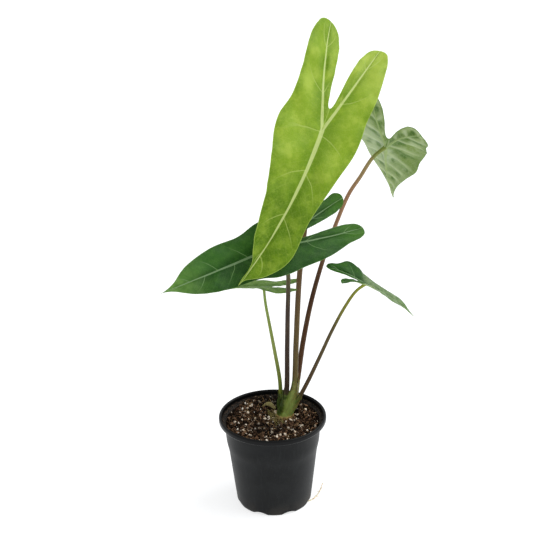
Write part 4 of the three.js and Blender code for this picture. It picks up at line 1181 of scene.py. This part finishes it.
def add_withered_sheath():
    look = Look("withered_skin", Roughness=0.7)
    place = look.place()
    look.ground(look.fade(look.value("ribs"), 0.2, 0.8), (86, 82, 40), (146, 136, 78))
    look.tint((92, 66, 38), look.fade(look.noise(place, 420, 3), 0.48, 0.64), 0.7)
    look.bump(look.noise(place, 1500, 3), 0.0003, 0.6)

    rows, columns = 60, 44
    along = level_way(math.radians(WITHERED["heading"]))
    across = np.array([-along[1], along[0], 0])
    upwards = np.array([0, 0, 1.0])
    share = np.linspace(0, 1, rows)[:, None]
    c = np.linspace(0, 1, columns)[None]
    width = np.sin(math.pi * np.clip(0.12 + 0.8 * share, 0, 1)) ** 0.7
    lift = WITHERED["rise"] * np.sin(math.pi * np.minimum(1, 0.95 * share + 0.05)) - 1.2
    angle = math.radians(WITHERED["turns"]) * (c - 0.5) * (1 - 0.25 * share)
    ribs = np.sin(2 * math.pi * 7 * c + 0.8 * np.sin(5 * share))
    radius = WITHERED["reach"] * width / 2 + 0.16 * ribs
    axis = (np.array(WITHERED["middle"], float) + along * WITHERED["length"] * (share[..., None] - 0.5)
            + across * 2.5 * share[..., None] ** 2 + upwards * lift[..., None])
    out = np.sin(angle)[..., None] * across + np.cos(angle)[..., None] * upwards
    layers = [axis + out * (radius + half)[..., None] for half in (0.2, -0.2)]
    body, _ = closed_sheet(*layers, grid_triangles(rows, columns, flip=True))
    values = on_both({"ribs": (0.5 + 0.5 * ribs).ravel()})
    add_piece("withered_flap", body, [look.done()], ["withered_sheath"], values)


def add_strands():
    """Dry strands of old leaf base between the withered flap and the crown, and down over the mix."""
    rng = np.random.default_rng(71)
    crown = CROWN["soil_line"][:2]
    bodies = []
    for _ in range(CROWN["strands"]):
        start = np.array([-2, 22]) + rng.uniform(-3.5, 3.5, 2)
        end = crown + np.array([-4.5, -16]) + rng.uniform(-5.5, 5.5, 2)
        middle = lerp(start, end, 0.5) + np.array([-2, 0]) + rng.uniform(-4.5, 4.5, 2)
        line = np.array([start, lerp(start, middle, 0.6), middle, lerp(middle, end, 0.6), end])
        z = soil_height(*line.T) + np.array([1.6, 2.6, 2.2, 1.6, 0.6]) + rng.uniform(-0.6, 1.2, 5)
        bodies.append(thread(np.column_stack([line, z]), np.full(26, rng.uniform(0.07, 0.16)), 6))
    tones = ((122, 112, 62), (196, 184, 130), (96, 84, 50))
    add_threads("dry_strands", "strand_skin", bodies, rng, tones)


def add_stray_root():
    centres = curve_points(STRAY_ROOT["route"], 120)
    share = np.linspace(0, 1, len(centres))
    radii = np.interp(share * 3, np.arange(4), STRAY_ROOT["radii"]) * (1 + 0.1 * ripple(centres, 3, 81))
    bodies = [tube(centres, radii, 12)]
    rng = np.random.default_rng(82)
    for k in (58, 66, 74, 88, 101):
        start = centres[k]
        tip = start + unit(np.array([rng.uniform(-1, 1), rng.uniform(-1, 1), 0])) * rng.uniform(2, 4.5)
        line = [start, lerp(start, tip, 0.5) + (0.3, 0.2, 0.1), tip * (1, 1, 0) + (0, 0, 0.3)]
        bodies.append(thread(line, np.linspace(0.28, 0.12, 12), 6))
    look = Look("root_skin", Roughness=0.6, Subsurface_Weight=0.15, Subsurface_Scale=0.001)
    place = look.place()
    look.ground(look.fade(look.noise(place, 350, 3), 0.4, 0.65), (226, 212, 182), (188, 164, 124))
    look.bump(look.noise(place, 1800, 3), 0.0002, 0.5)
    add_piece("trailing_root", join_bodies(bodies)[0], [look.done()], ["stray_root"])


# Pot

def rounded(corners):
    """A profile's points, with each corner (radius, height, rounding) drawn as a small curve."""
    points = []
    for k, (r, z, rounding) in enumerate(corners):
        here = np.array([r, z], float)
        if rounding == 0:
            points.append(here)
            continue
        ends = [np.array(corners[k + step][:2], float) for step in (-1, 1)]
        ways = [min(rounding, 0.45 * np.linalg.norm(end - here)) * unit(end - here) for end in ends]
        for f in np.linspace(0, 1, 5 if rounding < 3 else 9):
            points.append((1 - f) ** 2 * (here + ways[0]) + 2 * f * (1 - f) * here + f * f * (here + ways[1]))
    return np.array(points)


def pot_profile():
    p = POT
    lip_foot = p["height"] - p["lip_height"]
    edge = p["rim"] - p["lip_width"]
    foot = p["base"] - p["foot_ring"]
    inner_foot = p["body_foot"] - p["wall"]
    wall, top, rim, base, under = p["wall"], p["height"], p["rim"], p["base"], p["floor_under"]
    return rounded([
        (0, 0, 0), (p["boss"], 0, 0.3), (p["boss"] + 0.8, under, 0.4), (foot - 0.5, under, 0.4),
        (foot, 0, 0.3), (base, 0, 0.5), (base + 0.9, 2, 0.6), (p["body_foot"], p["body_foot_z"], 2),
        (p["body_top"], p["body_top_z"], 5), (p["collar_foot"], p["collar_foot_z"], 5),
        (p["collar_top"], lip_foot - 1, 0.8), (rim - p["lip_overhang"], lip_foot - 0.4, 0.5),
        (rim - 0.8, lip_foot, 0.5), (rim, lip_foot + 1.1, 0.7), (rim, top - 1.6, 0.9),
        (rim - 0.6, top - 0.4, 0.5), (rim - 1.8, top, 0.8), (edge + 1.6, top - 0.2, 0.8),
        (edge + 0.6, top - 1.2, 0.5), (edge, lip_foot + 0.6, 0.8),
        (p["collar_top"] - wall, lip_foot - 1.5, 1), (p["collar_foot"] - wall, p["collar_foot_z"], 4),
        (p["body_top"] - wall, p["body_top_z"], 4), (inner_foot, p["body_foot_z"] + 1.5, 1),
        (inner_foot - 1, p["floor_top"] + 0.6, 0.6), (inner_foot - 2.2, p["floor_top"], 0.5),
        (0, p["floor_top"], 0),
    ])


def pot_look():
    look = Look("pot_plastic", Roughness=0.4, Specular_IOR_Level=0.15)
    place = look.place()
    height = look.node("SeparateXYZ", {0: place}).outputs["Z"]
    rubbed = look.noise(place, 45, 4, 0.6)
    drawn = look.noise(look.stretch(place, 1, 1, 0.12), 420, 4, 0.65)
    specks = look.noise(place, 1700, 2, 0.6)
    look.ground(look.fade(rubbed, 0.4, 0.65), (14, 16, 17), (22, 24, 25))
    look.tint((34, 37, 38), look.fade(drawn, 0.5, 0.72), 0.35)
    dust = look.times(look.fade(specks, 0.63, 0.74), look.fade(look.noise(place, 30, 2), 0.4, 0.62))
    look.tint((96, 92, 84), dust, 0.3)
    look.tint((84, 76, 66), look.fade(height, 0.018, 0.0), look.fade(rubbed, 0.35, 0.6), 0.18)
    # Painted shade: the lip darker than the body
    lip = look.fade(height, 0.0896, 0.0908)
    look.tint((5, 6, 7), lip, 0.9)

    # Painted shade on the inner wall and on the ledge under the lip: near black, with specks of mix that
    # clings there
    radius = look.measure("LENGTH", look.stretch(place, 1, 1, 0))
    inward = look.fade(look.scaled(height, -0.074, radius), 0.0426, 0.0422)
    ledge = look.times(look.fade(look.scaled(radius, -0.42, height), 0.07015, 0.0704),
                       look.fade(radius, 0.0524, 0.0519))
    inner = look.math("MAXIMUM", look.times(inward, look.fade(height, 0.072, 0.078)),
                      look.times(ledge, look.fade(height, 0.094, 0.093)))
    clinging = look.fade(look.noise(place, 700, 3, 0.7), 0.49, 0.58)
    look.tint(look.mix(clinging, (4, 5, 5), (70, 56, 45)), inner)
    look.bump(drawn, 0.00012, 0.35)
    look.bump(look.noise(place, 1100, 3, 0.6), 0.00008, 0.5)
    shine = look.math("SUBTRACT", look.scaled(rubbed, 0.22, 0.33), look.times(lip, 0.12))
    return look.done(look.scaled(inner, 0.4, shine))


def pot_body():
    """The turned pot, with a fine moulding seam down its outside."""
    profile = pot_profile()
    even = np.arange(POT["sides"]) * 360 / POT["sides"]
    seam = POT["seam_heading"] + np.array([-0.9, -0.5, -0.25, 0, 0.25, 0.5, 0.9])
    even = even[np.abs((even - POT["seam_heading"] + 180) % 360 - 180) > 1.1]
    headings = np.sort(np.concatenate([even, seam % 360]))
    offset = (headings - POT["seam_heading"] + 180) % 360 - 180
    ridge = POT["seam_height"] * np.exp(-(offset / POT["seam_width"]) ** 2)
    radii, heights = profile[1:-1].T
    outside = (radii > POT["base"] - 1) & (heights > 6) & (heights < POT["height"] - 1)
    turned = np.cumsum(np.diff(heights, prepend=0) < -1.5) == 0
    r = radii[:, None] + (outside & turned)[:, None] * ridge
    rings = np.dstack([r[..., None] * on_circle(np.radians(headings)), heights[:, None] + 0 * r])
    return closed_rings(rings, (0, 0, profile[0][1]), (0, 0, profile[-1][1]))


def pot_cuts():
    """The arches of the foot and the drain holes behind them."""
    arch = (POT["notch_width"] ** 2 / 4 + POT["notch_height"] ** 2) / (2 * POT["notch_height"])
    bodies = []
    for k in range(POT["notches"]):
        outwards = level_way(2 * math.pi * (k + 0.5) / POT["notches"])
        middle = outwards * POT["base"] + (0, 0, POT["notch_height"] - arch)
        bodies.append(tube([middle - 7 * outwards, middle + 7 * outwards], [arch, arch], 96))
        hole = outwards * POT["drain_reach"] + (0, 0, POT["floor_top"])
        bodies.append(tube([hole - (0, 0.01, 3), hole + (0, 0.01, 3)], [POT["drain"]] * 2, 24))
    return join_bodies(bodies)[0]


def add_pot():
    mesh = make_mesh("nursery_pot", *pot_body())
    mesh.materials.append(pot_look())
    pot = add_object("nursery_pot", mesh)
    cuts = add_object("pot_cuts", make_mesh("pot_cuts", *pot_cuts()))
    modify(pot, "BOOLEAN", operation="DIFFERENCE", solver="EXACT", use_self=True, object=cuts)
    carved = modified_mesh(pot)
    pot.modifiers.clear()
    pot.data = carved
    shade(carved, POT["sharp"])
    bpy.data.objects.remove(cuts)
    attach(pot, "root")
    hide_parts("pot")


# Stage

def add_stage():
    corners = [(x * FLOOR_REACH, y * FLOOR_REACH, 0) for x, y in ((-1, -1), (1, -1), (1, 1), (-1, 1))]
    floor = add_object("floor", make_mesh("floor", corners, [(0, 1, 2, 3)]))
    look = Look("floor_paper", Roughness=0.9, Specular_IOR_Level=0.1, Emission_Color=srgb(255, 255, 255),
                Emission_Strength=0.68)
    look.ground(look.noise(look.place(), 3, 2), (176, 178, 180), (180, 182, 184))
    floor.data.materials.append(look.done())


def add_studio():
    scene = bpy.context.scene
    scene.world = bpy.data.worlds.new("studio")
    scene.world.use_nodes = True
    background = scene.world.node_tree.nodes["Background"]
    background.inputs["Color"].default_value = (1, 1, 1, 1)
    background.inputs["Strength"].default_value = 0.75
    scene.view_settings.view_transform = "Standard"
    sun = bpy.data.lights.new("softbox", "SUN")
    sun.energy = 2.2
    sun.angle = math.radians(55)
    light = add_object("softbox", sun)
    light.rotation_mode = "QUATERNION"
    light.rotation_quaternion = Vector(SUN_FROM).to_track_quat("Z", "Y")


def add_camera():
    elevation, roll = math.radians(CAMERA["elevation"]), math.radians(CAMERA["roll"])
    back = Vector((0, -math.cos(elevation), math.sin(elevation)))
    right = Vector((1, 0, 0))
    up = back.cross(right)
    turned_right = right * math.cos(roll) + up * math.sin(roll)
    turned_up = up * math.cos(roll) - right * math.sin(roll)
    data = bpy.data.cameras.new("camera")
    data.lens = CAMERA["lens"]
    data.sensor_width = 36
    camera = add_object("camera", data)
    axes = Matrix((turned_right, turned_up, back)).transposed().to_4x4()
    camera.matrix_world = Matrix.Translation(Vector(CAMERA["at"]) * MM) @ axes
    bpy.context.scene.camera = camera


for add in (add_camera, add_studio, add_stage, add_pot, add_soil_bed, add_mix, add_fibres, add_crown,
            add_sheaths, add_dry_collar, add_stalks, add_blades, add_withered_sheath, add_strands,
            add_stray_root):
    add()
